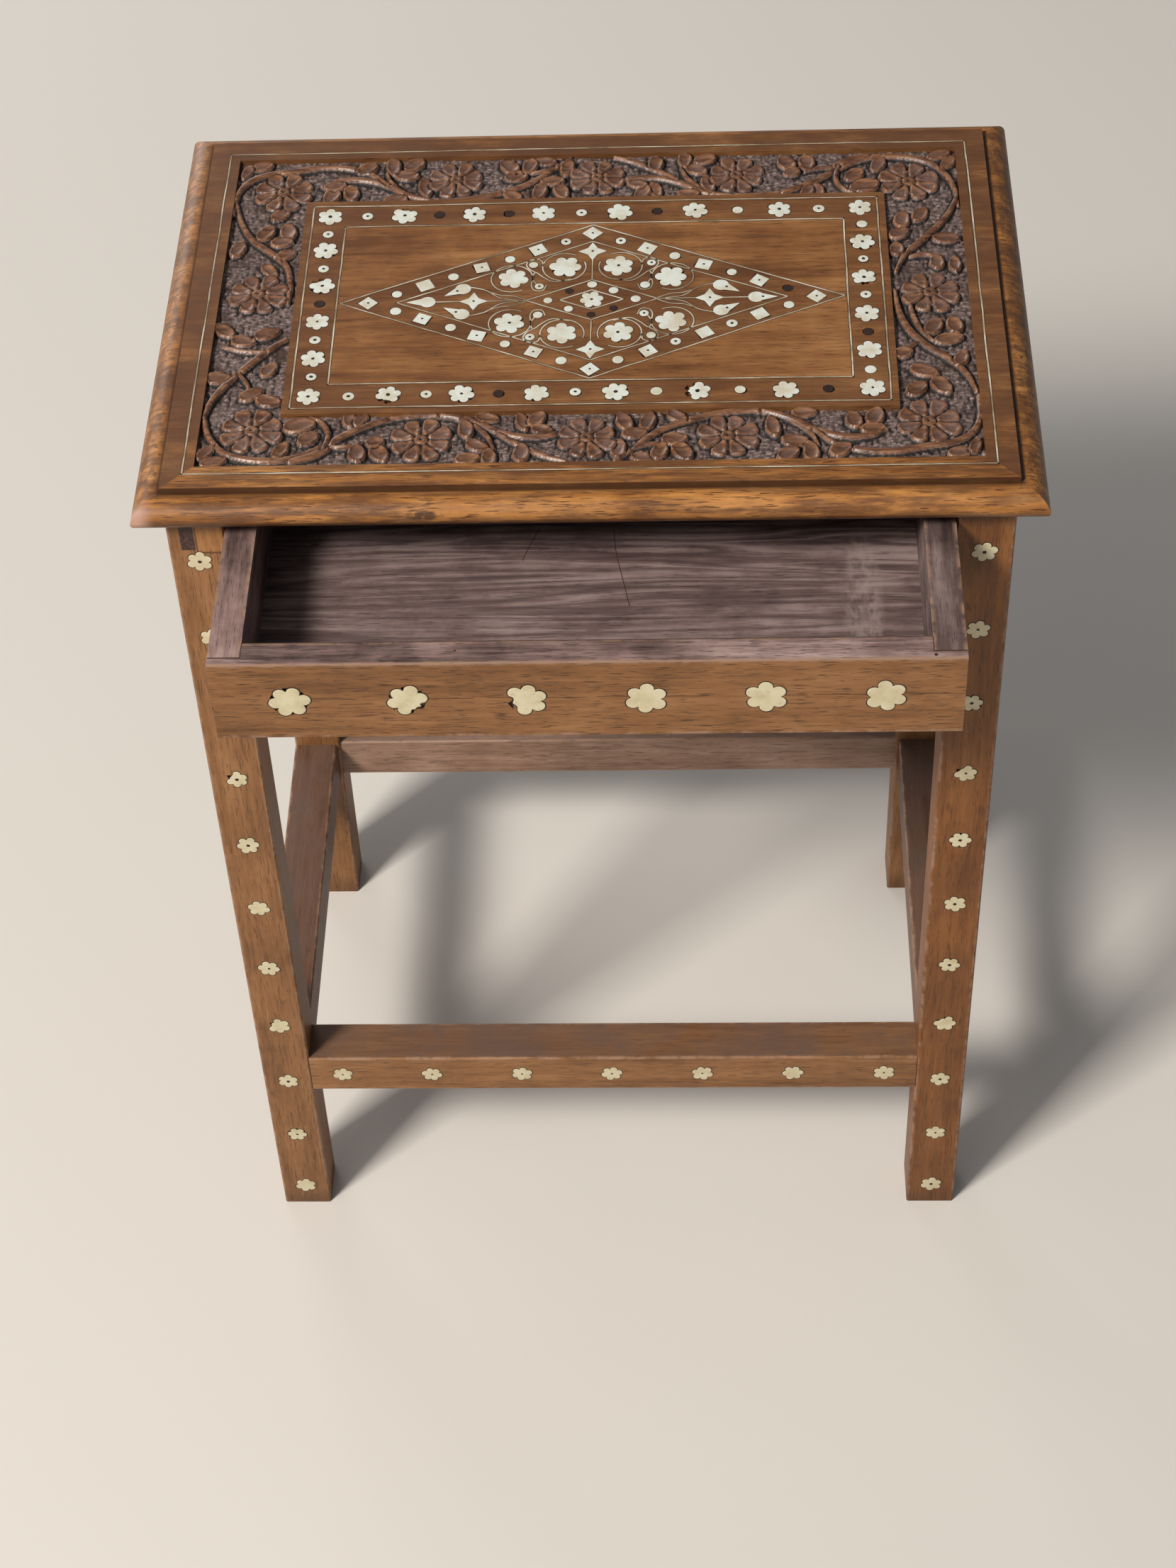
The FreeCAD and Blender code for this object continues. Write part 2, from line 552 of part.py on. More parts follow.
def build_top_inlay():
    """Wires and bone pieces of the top; returns the seats to cut for them."""
    rim = S["rim_width"]
    panel_x, panel_y = S["panel_width"] / 2, S["panel_depth"] / 2
    band = S["band_width"]
    long_x, long_y = diamond_half()
    seats = [
        wire_node("border_wire", rectangle_corners, S["flat_width"] / 2 - rim, S["flat_depth"] / 2 - rim),
        wire_node("panel_outer_wire", rectangle_corners, panel_x, panel_y),
        wire_node("panel_inner_wire", rectangle_corners, panel_x - band, panel_y - band),
        wire_node("diamond_outer_wire", diamond_corners, long_x, long_y),
        wire_node("diamond_inner_wire", diamond_corners, long_x * INNER_SHARE, long_y * INNER_SHARE),
        wire_node("heart_outer_wire", diamond_corners, long_x * HEART_OUTER_SHARE, long_y * HEART_OUTER_SHARE),
        wire_node("heart_inner_wire", diamond_corners, long_x * HEART_INNER_SHARE, long_y * HEART_INNER_SHARE),
    ]

    def panel_flower(grow, turn):
        return flower(S["panel_flower"], grow, True)

    def diamond_flower(grow, turn):
        return flower(S["diamond_flower"], grow, False)

    def heart_flower(grow, turn):
        return flower(S["heart_flower"], grow, False)

    def dot(grow, turn):
        return regular(S["dot_width"], grow, DOT_SIDES)

    def seed(grow, turn):
        return regular(S["seed_width"], grow, SEED_SIDES)

    def bone_square(grow, turn):
        return square(S["square_side"], grow, turn)

    def bone_star(grow, turn):
        return star(S["star_width"], grow)

    def bone_leaf(grow, turn):
        return leaf(S["leaf_length"], S["leaf_width"], grow, turn)

    band_flowers, band_dots = panel_spots()
    squares, edge_dots = diamond_band_spots()
    flowers = [spot for place in FLOWER_PLACES for spot in in_diamond(place)]
    stars = [spot for place in STAR_PLACES for spot in in_diamond(place)]
    seeds = [spot for place in SEED_PLACES for spot in in_diamond(place)]
    leaves = []
    for x, y, turn in LEAF_PLACES:
        for spot_x, spot_y in in_diamond((x, y)):
            lean = turn if spot_y >= 0 else -turn
            leaves.append((on_top(spot_x, spot_y), lean if spot_x > 0 else 180 - lean))
    seats += bone_group("panel_flowers", panel_flower, turned(band_flowers))
    seats += bone_group("panel_dots", dot, turned(band_dots))
    seats += bone_group("diamond_squares", bone_square, [(on_top(*spot), turn) for spot, turn in squares])
    seats += bone_group("diamond_dots", dot, turned(edge_dots))
    seats += bone_group("diamond_flowers", diamond_flower, turned(flowers))
    seats += bone_group("heart_flower", heart_flower, turned([(0, 0)]))
    seats += bone_group("diamond_stars", bone_star, turned(stars))
    seats += bone_group("diamond_leaves", bone_leaf, leaves)
    seats += bone_group("diamond_seeds", seed, turned(seeds))
    return seats


# Legs


def build_leg(side, end):
    """A square leg, mortised on its two inner faces for stretchers and aprons."""
    name = f"leg_{END_NAMES[end]}_{SIDE_NAMES[side]}"
    body = new_body(f"{name}_body", f"{side} * {LEG_X}", f"{end} * {LEG_Y}")
    middle = ("0", "0", f"{UNDERSIDE} / 2")
    post = add_pad(body, f"{name}_post", "XY_Plane", "sizes.leg_side", "sizes.leg_side", UNDERSIDE, middle)
    ease_arrises(body, post, Vector(0, 0, 1))
    face_x = f"{-side} * sizes.leg_side / 2"
    face_y = f"{-end} * sizes.leg_side / 2"
    stub = "(sizes.tenon_length + sizes.mortise_gap)"
    across_y = f"{end} * ({STRETCHER_Y} - {LEG_Y})"
    across_x = f"{side} * ({STRETCHER_X} - {LEG_X})"
    add_pocket(body, f"{name}_mortise_x", "YZ_Plane", "sizes.tenon_thick", TENON_HEIGHT, stub,
               (across_y, STRETCHER_Z, face_x))
    add_pocket(body, f"{name}_mortise_y", "XZ_Plane", "sizes.tenon_thick", TENON_HEIGHT, stub,
               (across_x, STRETCHER_Z, f"-({face_y})"))
    through = side == LEFT and end == FRONT
    apron_x = f"{side} * ({APRON_X} - {LEG_X})"
    add_pocket(body, f"{name}_apron_mortise_y", "XZ_Plane", "sizes.apron_tenon_thick",
               "sizes.apron_tenon_height", "2 * sizes.leg_side" if through else stub,
               (apron_x, APRON_TENON_Z, f"-({face_y})"))
    if end == BACK:
        apron_y = f"{end} * ({APRON_Y} - {LEG_Y})"
        add_pocket(body, f"{name}_apron_mortise_x", "YZ_Plane", "sizes.apron_tenon_thick",
                   "sizes.apron_tenon_height", stub, (apron_y, APRON_TENON_Z, face_x))
        return finished(body, name)
    add_pocket(body, f"{name}_rail_notch", "YZ_Plane", "sizes.rail_depth", "sizes.rail_thick", "sizes.rail_lap",
               (f"{end} * ({RAIL_Y} - {LEG_Y})", RAIL_Z, face_x))
    low = S["leg_flower_low"]
    high = S["table_height"] - S["top_thickness"] - S["leg_flower_high"]
    x = side * (S["frame_width"] - S["leg_side"]) / 2
    y = end * S["frame_depth"] / 2
    heights = [(low + high) / 2 + place for place in even(LEG_FLOWERS, (high - low) / 2)]
    spots = [(Vector(x, y, z), 0.0) for z in heights]
    seats = bone_group(f"leg_flowers_{SIDE_NAMES[side]}", leg_flower, spots, front=True)
    return finished(cut(f"{name}_seated", body, group(f"{name}_seats", seats)), name)


def leg_flower(grow, turn):
    return flower(S["leg_flower"], grow, False)


def stretcher_flower(grow, turn):
    return flower(S["stretcher_flower"], grow, False)


def drawer_flower(grow, turn):
    return flower(S["drawer_flower"], grow, True)


# Stretchers, aprons and the rail over the drawer


def build_stretcher(name, along_x, sign):
    """A bar between two legs with a stub tenon at each end."""
    if along_x:
        body = new_body(f"{name}_body", "0", f"{sign} * {STRETCHER_Y}", STRETCHER_Z)
        role, span, run = "YZ_Plane", SPAN_X, Vector(1, 0, 0)
    else:
        body = new_body(f"{name}_body", f"{sign} * {STRETCHER_X}", "0", STRETCHER_Z)
        role, span, run = "XZ_Plane", SPAN_Y, Vector(0, 1, 0)
    bar = add_pad(body, f"{name}_bar", role, "sizes.stretcher_thick", "sizes.stretcher_height", span)
    ease_arrises(body, bar, run)
    add_pad(body, f"{name}_tenons", role, "sizes.tenon_thick", TENON_HEIGHT, f"{span} + 2 * sizes.tenon_length")
    if name != "stretcher_front":
        return finished(body, name)
    half = S["frame_width"] / 2 - S["leg_side"] - S["stretcher_flower_end"]
    height = S["stretcher_rise"] + S["stretcher_height"] / 2
    y = sign * S["frame_depth"] / 2
    spots = [(Vector(x, y, height), 0.0) for x in even(STRETCHER_FLOWERS, half)]
    seats = bone_group("stretcher_flowers", stretcher_flower, spots, front=True)
    return finished(cut(f"{name}_seated", body, group(f"{name}_seats", seats)), name)


def build_apron(name, along_x, sign):
    """A board under the top with a tenon at each end; the left one shows through its front leg."""
    height = f"({UNDERSIDE} - sizes.apron_height / 2)"
    if along_x:
        body = new_body(f"{name}_body", "0", f"{sign} * {APRON_Y}", height)
        role, span = "YZ_Plane", SPAN_X
    else:
        body = new_body(f"{name}_body", f"{sign} * {APRON_X}", "0", height)
        role, span = "XZ_Plane", SPAN_Y
    add_pad(body, f"{name}_board", role, "sizes.apron_thick", "sizes.apron_height", span)
    up = f"{APRON_TENON_Z} - {height}"
    thick, tall = "sizes.apron_tenon_thick", "sizes.apron_tenon_height"
    add_pad(body, f"{name}_tenons", role, thick, tall, f"{span} + 2 * sizes.tenon_length", ("0", up, "0"))
    if name == "apron_left":
        forward = f"{span} / 2 + sizes.leg_side / 2"
        add_pad(body, f"{name}_through_tenon", role, thick, tall, "sizes.leg_side", ("0", up, forward))
    return finished(body, name)


def build_rail():
    body = new_body("front_rail_body", "0", f"{FRONT} * {RAIL_Y}", RAIL_Z)
    add_pad(body, "front_rail_bar", "YZ_Plane", "sizes.rail_depth", "sizes.rail_thick",
            f"{SPAN_X} + 2 * sizes.rail_lap")
    return finished(body, "front_top_rail")


# Strips that carry and guide the drawer


def nail(spot, grow):
    """A cut nail driven upwards, its head level with the spot."""
    parts = []
    for side, length in ((S["nail_head"], S["nail_head_thick"]), (S["nail_side"], S["nail_length"])):
        wide = side + 2 * grow
        parts.append(Part.makeBox(wide, wide, length + grow, spot - Vector(wide / 2, wide / 2, 0)))
    return parts[0].fuse(parts[1]).removeSplitter()


def kicker_nail_solids(grow):
    low = S["table_height"] - S["top_thickness"] - S["rail_thick"]
    x = S["frame_width"] / 2 - S["leg_side"] - S["kicker_width"] / 2
    reach = S["kicker_nail_reach"]
    return [nail(Vector(side * x, y, low), grow) for side in (LEFT, RIGHT) for y in (-reach, reach)]


def build_strips(side):
    """Kicker above, runner below, guide beside and stop behind one drawer side."""
    hand = SIDE_NAMES[side]
    half = f"({SPAN_X} / 2)"
    rail_back = "(sizes.frame_depth / 2 - sizes.apron_setback - sizes.rail_depth)"
    kicker = new_body(f"kicker_{hand}_body", f"{side} * ({half} - sizes.kicker_width / 2)",
                      f"({APRON_INNER_Y} - {rail_back}) / 2", RAIL_Z)
    add_pad(kicker, f"kicker_{hand}_bar", "XZ_Plane", "sizes.kicker_width", "sizes.rail_thick",
            f"{APRON_INNER_Y} + {rail_back}")
    holes = group(f"kicker_{hand}_holes", kicker_nail_solids(S["nail_gap"]))
    finished(cut(f"kicker_{hand}_bored", kicker, holes), f"drawer_kicker_{hand}")

    runner = new_body(f"runner_{hand}_body", f"{side} * ({APRON_INNER_X} - sizes.runner_width / 2)", "0",
                      f"{RUNNER_TOP} - sizes.runner_thick / 2")
    add_pad(runner, f"runner_{hand}_bar", "XZ_Plane", "sizes.runner_width", "sizes.runner_thick", SPAN_Y)
    finished(runner, f"drawer_runner_{hand}")

    guide_inner = f"({half} + sizes.guide_gap)"
    guide = new_body(f"guide_{hand}_body", f"{side} * ({guide_inner} + {APRON_INNER_X}) / 2", "0",
                     f"{RUNNER_TOP} + sizes.guide_height / 2")
    add_pad(guide, f"guide_{hand}_bar", "XZ_Plane", f"{APRON_INNER_X} - {guide_inner}", "sizes.guide_height",
            SPAN_Y)
    finished(guide, f"drawer_guide_{hand}")

    closed_back = f"({DRAWER_LENGTH} - sizes.frame_depth / 2 + sizes.drawer_stop_gap)"
    stop = new_body(f"stop_{hand}_body", f"{side} * ({half} - sizes.drawer_side_gap - sizes.side_thick / 2)",
                    f"{closed_back} + sizes.stop_length / 2", f"{RUNNER_TOP} + sizes.stop_height / 2")
    add_pad(stop, f"stop_{hand}_block", "XZ_Plane", "sizes.stop_width", "sizes.stop_height", "sizes.stop_length")
    finished(stop, f"drawer_stop_{hand}")


# Drawer


def build_drawer_front():
    """Front board, rabbeted at both ends for the sides and grooved for the bottom."""
    body = new_body("drawer_front_body", "0", DRAWER_FRONT, DRAWER_Z)
    add_pad(body, "front_lip_board", "XZ_Plane", DRAWER_WIDTH, "sizes.drawer_height", "sizes.front_lip",
            ("0", "0", "-sizes.front_lip / 2"))
    core = "(sizes.front_thick - sizes.front_lip)"
    add_pad(body, "front_core_board", "XZ_Plane", DRAWER_INSIDE, "sizes.drawer_height", core,
            ("0", "0", f"-sizes.front_lip - {core} / 2"))
    add_pocket(body, "front_groove", "XZ_Plane", f"{DRAWER_INSIDE} + 2 * sizes.side_thick", "sizes.floor_thick",
               "sizes.floor_groove", ("0", f"{FLOOR_Z} - {DRAWER_Z}", "-sizes.front_thick"))
    half = S["frame_width"] / 2 - S["leg_side"] - S["drawer_side_gap"] - S["drawer_flower_end"]
    middle = S["table_height"] - S["top_thickness"] - S["rail_thick"] - S["drawer_top_gap"]
    middle -= S["drawer_height"] / 2
    y = -S["frame_depth"] / 2 - S["drawer_out"]
    spots = [(Vector(x, y, middle), 0.0) for x in even(DRAWER_FLOWERS, half)]
    seats = bone_group("drawer_flowers", drawer_flower, spots, front=True)
    finished(cut("drawer_front_seated", body, group("drawer_front_seats", seats)), "drawer_front")


def build_drawer_side(side):
    name = f"drawer_side_{SIDE_NAMES[side]}"
    length = f"({DRAWER_LENGTH} - sizes.front_lip)"
    body = new_body(f"{name}_body", f"{side} * ({DRAWER_WIDTH} - sizes.side_thick) / 2",
                    f"{DRAWER_FRONT} + sizes.front_lip + {length} / 2", DRAWER_Z)
    add_pad(body, f"{name}_board", "XZ_Plane", "sizes.side_thick", "sizes.drawer_height", length)
    add_pocket(body, f"{name}_groove", "YZ_Plane", f"{length} + {DRAWER_LENGTH}", "sizes.floor_thick",
               "sizes.floor_groove", ("0", f"{FLOOR_Z} - {DRAWER_Z}", f"{-side} * sizes.side_thick / 2"))
    finished(body, name)


def floor_nail_solids(grow):
    """Nails up through the drawer bottom into the drawer back."""
    y = S["frame_depth"] / 2 - S["leg_side"] - S["stop_length"] - 2 * S["drawer_stop_gap"]
    y -= S["drawer_out"] + S["back_thick"] / 2
    z = S["table_height"] - S["top_thickness"] - S["rail_thick"] - S["drawer_top_gap"]
    z += S["floor_rise"] - S["drawer_height"]
    reach = S["floor_nail_reach"]
    return [nail(Vector(x, y, z), grow) for x in (-reach, 0, reach)]


def build_drawer_back_and_bottom():
    holes = group("floor_nail_holes", floor_nail_solids(S["nail_gap"]))
    tall = "(sizes.drawer_height - sizes.floor_rise - sizes.floor_thick)"
    back_end = f"{DRAWER_FRONT} + {DRAWER_LENGTH}"
    back = new_body("drawer_back_body", "0", f"{back_end} - sizes.back_thick / 2", f"{DRAWER_TOP} - {tall} / 2")
    add_pad(back, "drawer_back_board", "XZ_Plane", DRAWER_INSIDE, tall, "sizes.back_thick")
    finished(cut("drawer_back_bored", back, holes), "drawer_back")

    width = f"{DRAWER_INSIDE} + 2 * (sizes.floor_groove - sizes.floor_slack)"
    front_end = f"{DRAWER_FRONT} + sizes.front_thick - sizes.floor_groove + sizes.floor_slack"
    length = f"({DRAWER_LENGTH} - sizes.front_thick + sizes.floor_groove - sizes.floor_slack)"
    bottom = new_body("drawer_bottom_body", "0", f"{front_end} + {length} / 2", FLOOR_Z)
    add_pad(bottom, "drawer_bottom_board", "XY_Plane", width, length, "sizes.floor_thick")
    finished(cut("drawer_bottom_bored", bottom, holes), "drawer_bottom")
    finished(group("drawer_nails", floor_nail_solids(0.0)), "drawer_nails")


build_top()
for end in (FRONT, BACK):
    for side in (LEFT, RIGHT):
        build_leg(side, end)
for end in (FRONT, BACK):
    build_stretcher(f"stretcher_{END_NAMES[end]}", True, end)
for side in (LEFT, RIGHT):
    build_stretcher(f"stretcher_{SIDE_NAMES[side]}", False, side)
    build_apron(f"apron_{SIDE_NAMES[side]}", False, side)
    build_strips(side)
    build_drawer_side(side)
build_apron("apron_back", True, BACK)
build_rail()
finished(group("kicker_nails", kicker_nail_solids(0.0)), "kicker_nails")
build_drawer_front()
build_drawer_back_and_bottom()
doc.recompute()

for item in doc.Objects:
    if {"Invalid", "Error"} & set(item.State):
        raise RuntimeError(f"{item.Name} failed: {item.State}")
for piece in nodes:
    if piece.Shape.isNull() or not piece.Shape.isValid() or not piece.Shape.Solids:
        raise RuntimeError(f"{piece.Label} has no sound shape")

os.makedirs("parts", exist_ok=True)
for piece in nodes:
    piece.Shape.exportStep(f"parts/{piece.Label}.step")
print(f"{len(nodes)} sub-parts written")
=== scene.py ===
import json
import math
import bpy
import numpy as np
from mathutils import Matrix, Vector


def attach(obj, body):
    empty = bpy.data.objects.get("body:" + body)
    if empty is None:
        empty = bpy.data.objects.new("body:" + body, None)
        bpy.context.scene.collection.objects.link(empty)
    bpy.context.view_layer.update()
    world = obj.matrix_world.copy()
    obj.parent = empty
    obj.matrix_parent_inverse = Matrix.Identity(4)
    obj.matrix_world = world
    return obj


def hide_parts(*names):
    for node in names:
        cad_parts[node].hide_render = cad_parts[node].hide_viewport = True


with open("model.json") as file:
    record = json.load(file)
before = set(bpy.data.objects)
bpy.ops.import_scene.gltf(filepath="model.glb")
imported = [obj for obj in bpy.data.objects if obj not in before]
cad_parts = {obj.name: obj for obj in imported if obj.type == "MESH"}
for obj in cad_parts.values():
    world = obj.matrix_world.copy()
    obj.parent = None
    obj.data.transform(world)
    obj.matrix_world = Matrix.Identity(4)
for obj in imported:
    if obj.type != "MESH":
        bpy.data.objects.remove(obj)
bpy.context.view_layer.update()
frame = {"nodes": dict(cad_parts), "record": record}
MM = 0.001
RNG = np.random.default_rng(11)

# Camera fitted to the edges of the table
CAMERA_PLACE = (0.04039, -0.96485, 1.23542)
CAMERA_YAW, CAMERA_PITCH, CAMERA_ROLL = -0.0775, 0.8258, -0.0657
FOCAL_PX, LONG_SIDE_PX = 4389.7, 2212.0
SHIFT_X, SHIFT_Y = 75.0 / LONG_SIDE_PX, -18.1 / LONG_SIDE_PX
SENSOR = 36.0

# Studio; each lamp has a name, a place, the height it aims at, a size, a power and a colour
FLOOR_HALF = 4
FLOOR_COLOUR = (0.64, 0.6, 0.55, 1.0)
SKY_COLOUR = (0.9, 0.94, 1.0, 1.0)
SKY_STRENGTH = 0.22
LAMPS = (
    ("window", (-1.85, -2.0, 2.95), 0.35, 0.75, 166.0, (1.0, 0.96, 0.9)),
    ("behind", (-1.2, 2.3, 0.7), 0.25, 1.2, 22.0, (1.0, 0.98, 0.96)),
    ("room", (-1.3, -1.5, 2.6), 0.25, 1.8, 13.0, (1.0, 0.97, 0.94)),
)

# Planes of the table that the dressing lies on, and half sizes of its outlines, in millimetres
TOP_Z = 460.0
LEG_Y = -108.8
DRAWER_Y = -181.6
DRAWER_TOP_Z = 441.1
DRAWER_FLOOR_Z = 410.3
RECESS_FLOOR = 457.15
RECESS_OUTER = (147.9, 95.1)
RECESS_INNER = (117.6, 65.9)
DIAMOND = (99.5, 47.5)


# Camera, light and floor

def add_object(name, data):
    item = bpy.data.objects.new(name, data)
    bpy.context.scene.collection.objects.link(item)
    return item


def place_camera():
    """Camera aimed by yaw, pitch and roll."""
    cy, sy = math.cos(CAMERA_YAW), math.sin(CAMERA_YAW)
    cp, sp = math.cos(CAMERA_PITCH), math.sin(CAMERA_PITCH)
    cr, sr = math.cos(CAMERA_ROLL), math.sin(CAMERA_ROLL)
    forward = Vector((sy * cp, cy * cp, -sp))
    level = Vector((cy, -sy, 0.0))
    lift = level.cross(forward)
    right = level * cr + lift * sr
    up = lift * cr - level * sr
    data = bpy.data.cameras.new("photo_camera")
    data.lens = SENSOR * FOCAL_PX / LONG_SIDE_PX
    data.sensor_width = SENSOR
    data.shift_x = SHIFT_X
    data.shift_y = SHIFT_Y
    data.clip_start = 0.05
    camera = add_object("photo_camera", data)
    rows = [(right[i], up[i], -forward[i], CAMERA_PLACE[i]) for i in range(3)]
    camera.matrix_world = Matrix(rows + [(0.0, 0.0, 0.0, 1.0)])
    bpy.context.scene.camera = camera


def light(name, place, aim, size, power, colour):
    data = bpy.data.lights.new(name, "AREA")
    data.energy = power
    data.size = size
    data.color = colour
    lamp = add_object(name, data)
    lamp.location = place
    lamp.rotation_euler = (Vector((0, 0, aim)) - Vector(place)).to_track_quat("-Z", "Y").to_euler()


def build_stage():
    far = FLOOR_HALF
    mesh = bpy.data.meshes.new("floor")
    mesh.from_pydata([(-far, -far, 0), (far, -far, 0), (far, far, 0), (-far, far, 0)], [], [(0, 1, 2, 3)])
    floor = add_object("floor", mesh)
    mesh.materials.append(Net("floor").finish(FLOOR_COLOUR, 0.9))
    world = bpy.data.worlds.new("studio")
    world.use_nodes = True
    sky = world.node_tree.nodes["Background"]
    sky.inputs["Color"].default_value = SKY_COLOUR
    sky.inputs["Strength"].default_value = SKY_STRENGTH
    bpy.context.scene.world = world
    for lamp in LAMPS:
        light(*lamp)


# Node materials

class Net:
    """One node material; its methods return output sockets."""

    def __init__(self, name):
        self.material = bpy.data.materials.new(name)
        self.material.use_nodes = True
        self.tree = self.material.node_tree
        self.shader = self.tree.nodes["Principled BSDF"]
        self.shader.inputs["Specular IOR Level"].default_value = 0.3

    def add(self, kind, output, inputs, **settings):
        node = self.tree.nodes.new(kind)
        for key, value in settings.items():
            setattr(node, key, value)
        for key, value in inputs.items():
            self.feed(node.inputs[key], value)
        return node.outputs[output]

    def feed(self, socket, value):
        if isinstance(value, bpy.types.NodeSocket):
            self.tree.links.new(value, socket)
        else:
            socket.default_value = value

    def place(self):
        return self.add("ShaderNodeTexCoord", "Object", {})

    def stretch(self, vector, scale, shift=(0.0, 0.0, 0.0)):
        return self.add("ShaderNodeMapping", 0, {"Vector": vector, "Location": shift, "Scale": scale})

    def noise(self, vector, scale, detail, rough, bend=0.0):
        inputs = {"Vector": vector, "Scale": scale, "Detail": detail, "Roughness": rough, "Distortion": bend}
        return self.add("ShaderNodeTexNoise", 0, inputs)

    def math(self, kind, a, b=0.0):
        return self.add("ShaderNodeMath", 0, {0: a, 1: b}, operation=kind)

    def less(self, a, b):
        return self.math("SUBTRACT", a, b)

    def plus(self, a, b):
        return self.math("ADD", a, b)

    def step(self, value, low, high):
        """0 below low, 1 above high, smooth between; low may lie above high."""
        inputs = {"Value": value, "From Min": min(low, high), "From Max": max(low, high),
                  "To Min": float(low > high), "To Max": float(high > low)}
        return self.add("ShaderNodeMapRange", "Result", inputs, interpolation_type="SMOOTHSTEP")

    def both(self, first, *others):
        """Product of masks and shares."""
        for other in others:
            first = self.math("MULTIPLY", first, other)
        return first

    def between(self, value, rise, fall):
        """1 inside a band that rises over one pair of values and falls over another."""
        return self.both(self.step(value, *rise), self.step(value, *fall))

    def ramp(self, value, *stops):
        node = self.tree.nodes.new("ShaderNodeValToRGB")
        self.feed(node.inputs["Fac"], value)
        points = node.color_ramp.elements
        while len(points) < len(stops):
            points.new(0.5)
        for point, (at, colour) in zip(points, stops):
            point.position = at
            point.color = (*colour, 1.0)
        return node.outputs["Color"]

    def mix(self, amount, a, b):
        node = self.tree.nodes.new("ShaderNodeMix")
        node.data_type = "RGBA"
        self.feed(node.inputs["Factor"], amount)
        sockets = [socket for socket in node.inputs if socket.type == "RGBA"]
        for socket, value in zip(sockets, (a, b)):
            self.feed(socket, value if isinstance(value, bpy.types.NodeSocket) else (*value, 1.0))
        return next(socket for socket in node.outputs if socket.type == "RGBA")

    def tint(self, colour, tone, *masks):
        """Lays a tone over a colour as far as all the masks and shares let it."""
        return self.mix(self.both(*masks), colour, tone)

    def lay(self, tone, *masks):
        self.colour = self.tint(self.colour, tone, *masks)

    def axes(self, vector):
        node = self.tree.nodes.new("ShaderNodeSeparateXYZ")
        self.feed(node.inputs[0], vector)
        return node.outputs[0], node.outputs[1], node.outputs[2]

    def upward(self):
        """How far a surface looks up."""
        normal = self.add("ShaderNodeNewGeometry", "Normal", {})
        return self.step(self.axes(normal)[2], 0.7, 0.95)

    def blot(self, across, along, middle, half):
        """A soft-edged oval patch: 1 in its middle, 0 outside."""
        offsets = [self.math("DIVIDE", self.less(value, at), size)
                   for value, at, size in zip((across, along), middle, half)]
        squares = [self.both(offset, offset) for offset in offsets]
        return self.step(self.plus(*squares), 1.0, 0.15)

    def bump(self, height, distance, strength):
        inputs = {"Height": height, "Distance": distance, "Strength": strength}
        self.feed(self.shader.inputs["Normal"], self.add("ShaderNodeBump", "Normal", inputs))

    def finish(self, colour, rough):
        self.feed(self.shader.inputs["Base Color"], colour)
        self.feed(self.shader.inputs["Roughness"], rough)
        return self.material


# Tones, from dark to light, and single colours
PANEL_TONES = ((0.12, 0.044, 0.013), (0.225, 0.094, 0.029), (0.33, 0.155, 0.055))
GOLD_TONES = ((0.15, 0.054, 0.013), (0.33, 0.132, 0.031), (0.5, 0.225, 0.062))
WARM_TONES = ((0.14, 0.058, 0.019), (0.222, 0.098, 0.035), (0.3, 0.142, 0.056))
DEEP_TONES = ((0.112, 0.038, 0.009), (0.172, 0.062, 0.015), (0.24, 0.094, 0.026))
RAW_TONES = ((0.055, 0.031, 0.027), (0.19, 0.12, 0.106), (0.38, 0.265, 0.24))
FLOOR_TONES = ((0.05, 0.028, 0.026), (0.14, 0.09, 0.083), (0.26, 0.185, 0.172))
DUSKY_TONES = ((0.09, 0.038, 0.019), (0.15, 0.07, 0.038), (0.22, 0.113, 0.068))
# Pale unfinished wood, made paler still as painted light against the shade under the table
UNFINISHED_SHADE_LIFTED_TONES = ((0.2, 0.11, 0.072), (0.3, 0.182, 0.127), (0.4, 0.26, 0.19))
DIM_TONES = ((0.03, 0.017, 0.016), (0.098, 0.062, 0.057), (0.28, 0.2, 0.187))
PALE_TONES = ((0.066, 0.037, 0.032), (0.23, 0.145, 0.128), (0.45, 0.315, 0.285))
CREST_TONES = ((0.075, 0.028, 0.012), (0.15, 0.061, 0.026), (0.25, 0.115, 0.052))
GROUND_TONES = ((0.04, 0.024, 0.02), (0.125, 0.084, 0.074), (0.33, 0.24, 0.217))
SHADE_TONES = ((0.022, 0.011, 0.008), (0.095, 0.052, 0.038))
END_TONES = ((0.03, 0.014, 0.011), (0.085, 0.045, 0.036))
BRASS_TONES = ((0.25, 0.175, 0.105), (0.48, 0.39, 0.27), (0.7, 0.62, 0.48))
DUST = (0.105, 0.064, 0.048)
CHAFED = (0.32, 0.19, 0.12)
SOIL = (0.05, 0.026, 0.016)
STAIN = (0.09, 0.034, 0.013)
DULLED = (0.09, 0.04, 0.021)
# Stain and painted shade for the dark line in the quirk of the moulding
QUIRK_STAIN_AND_SHADE = (0.03, 0.013, 0.007)
# Grime and painted shade for the lower part of the moulding
GRIME_AND_PAINTED_SHADE = (0.05, 0.02, 0.009)
KNOT = (0.04, 0.017, 0.008)
MOTTLE = (0.085, 0.036, 0.017)
BRUISE = (0.42, 0.24, 0.17)
RUBBED = (0.4, 0.27, 0.22)
# Painted shade for the inner face of the drawer front
INSIDE_PAINTED_SHADE = (0.04, 0.022, 0.02)
SEAM = (0.045, 0.018, 0.008)
SETTLED = (0.165, 0.098, 0.08)
# Wear and painted highlight on the lips of the carving
LIP_WEAR_AND_HIGHLIGHT = (0.29, 0.15, 0.085)
# Painted shade, near black, for the cuts of the carving
CREVICE_SHADE = (0.006, 0.003, 0.002)
LATE_WOOD = (0.04, 0.022, 0.021)
EARLY_WOOD = (0.33, 0.24, 0.225)
SCUFF = (0.33, 0.25, 0.23)

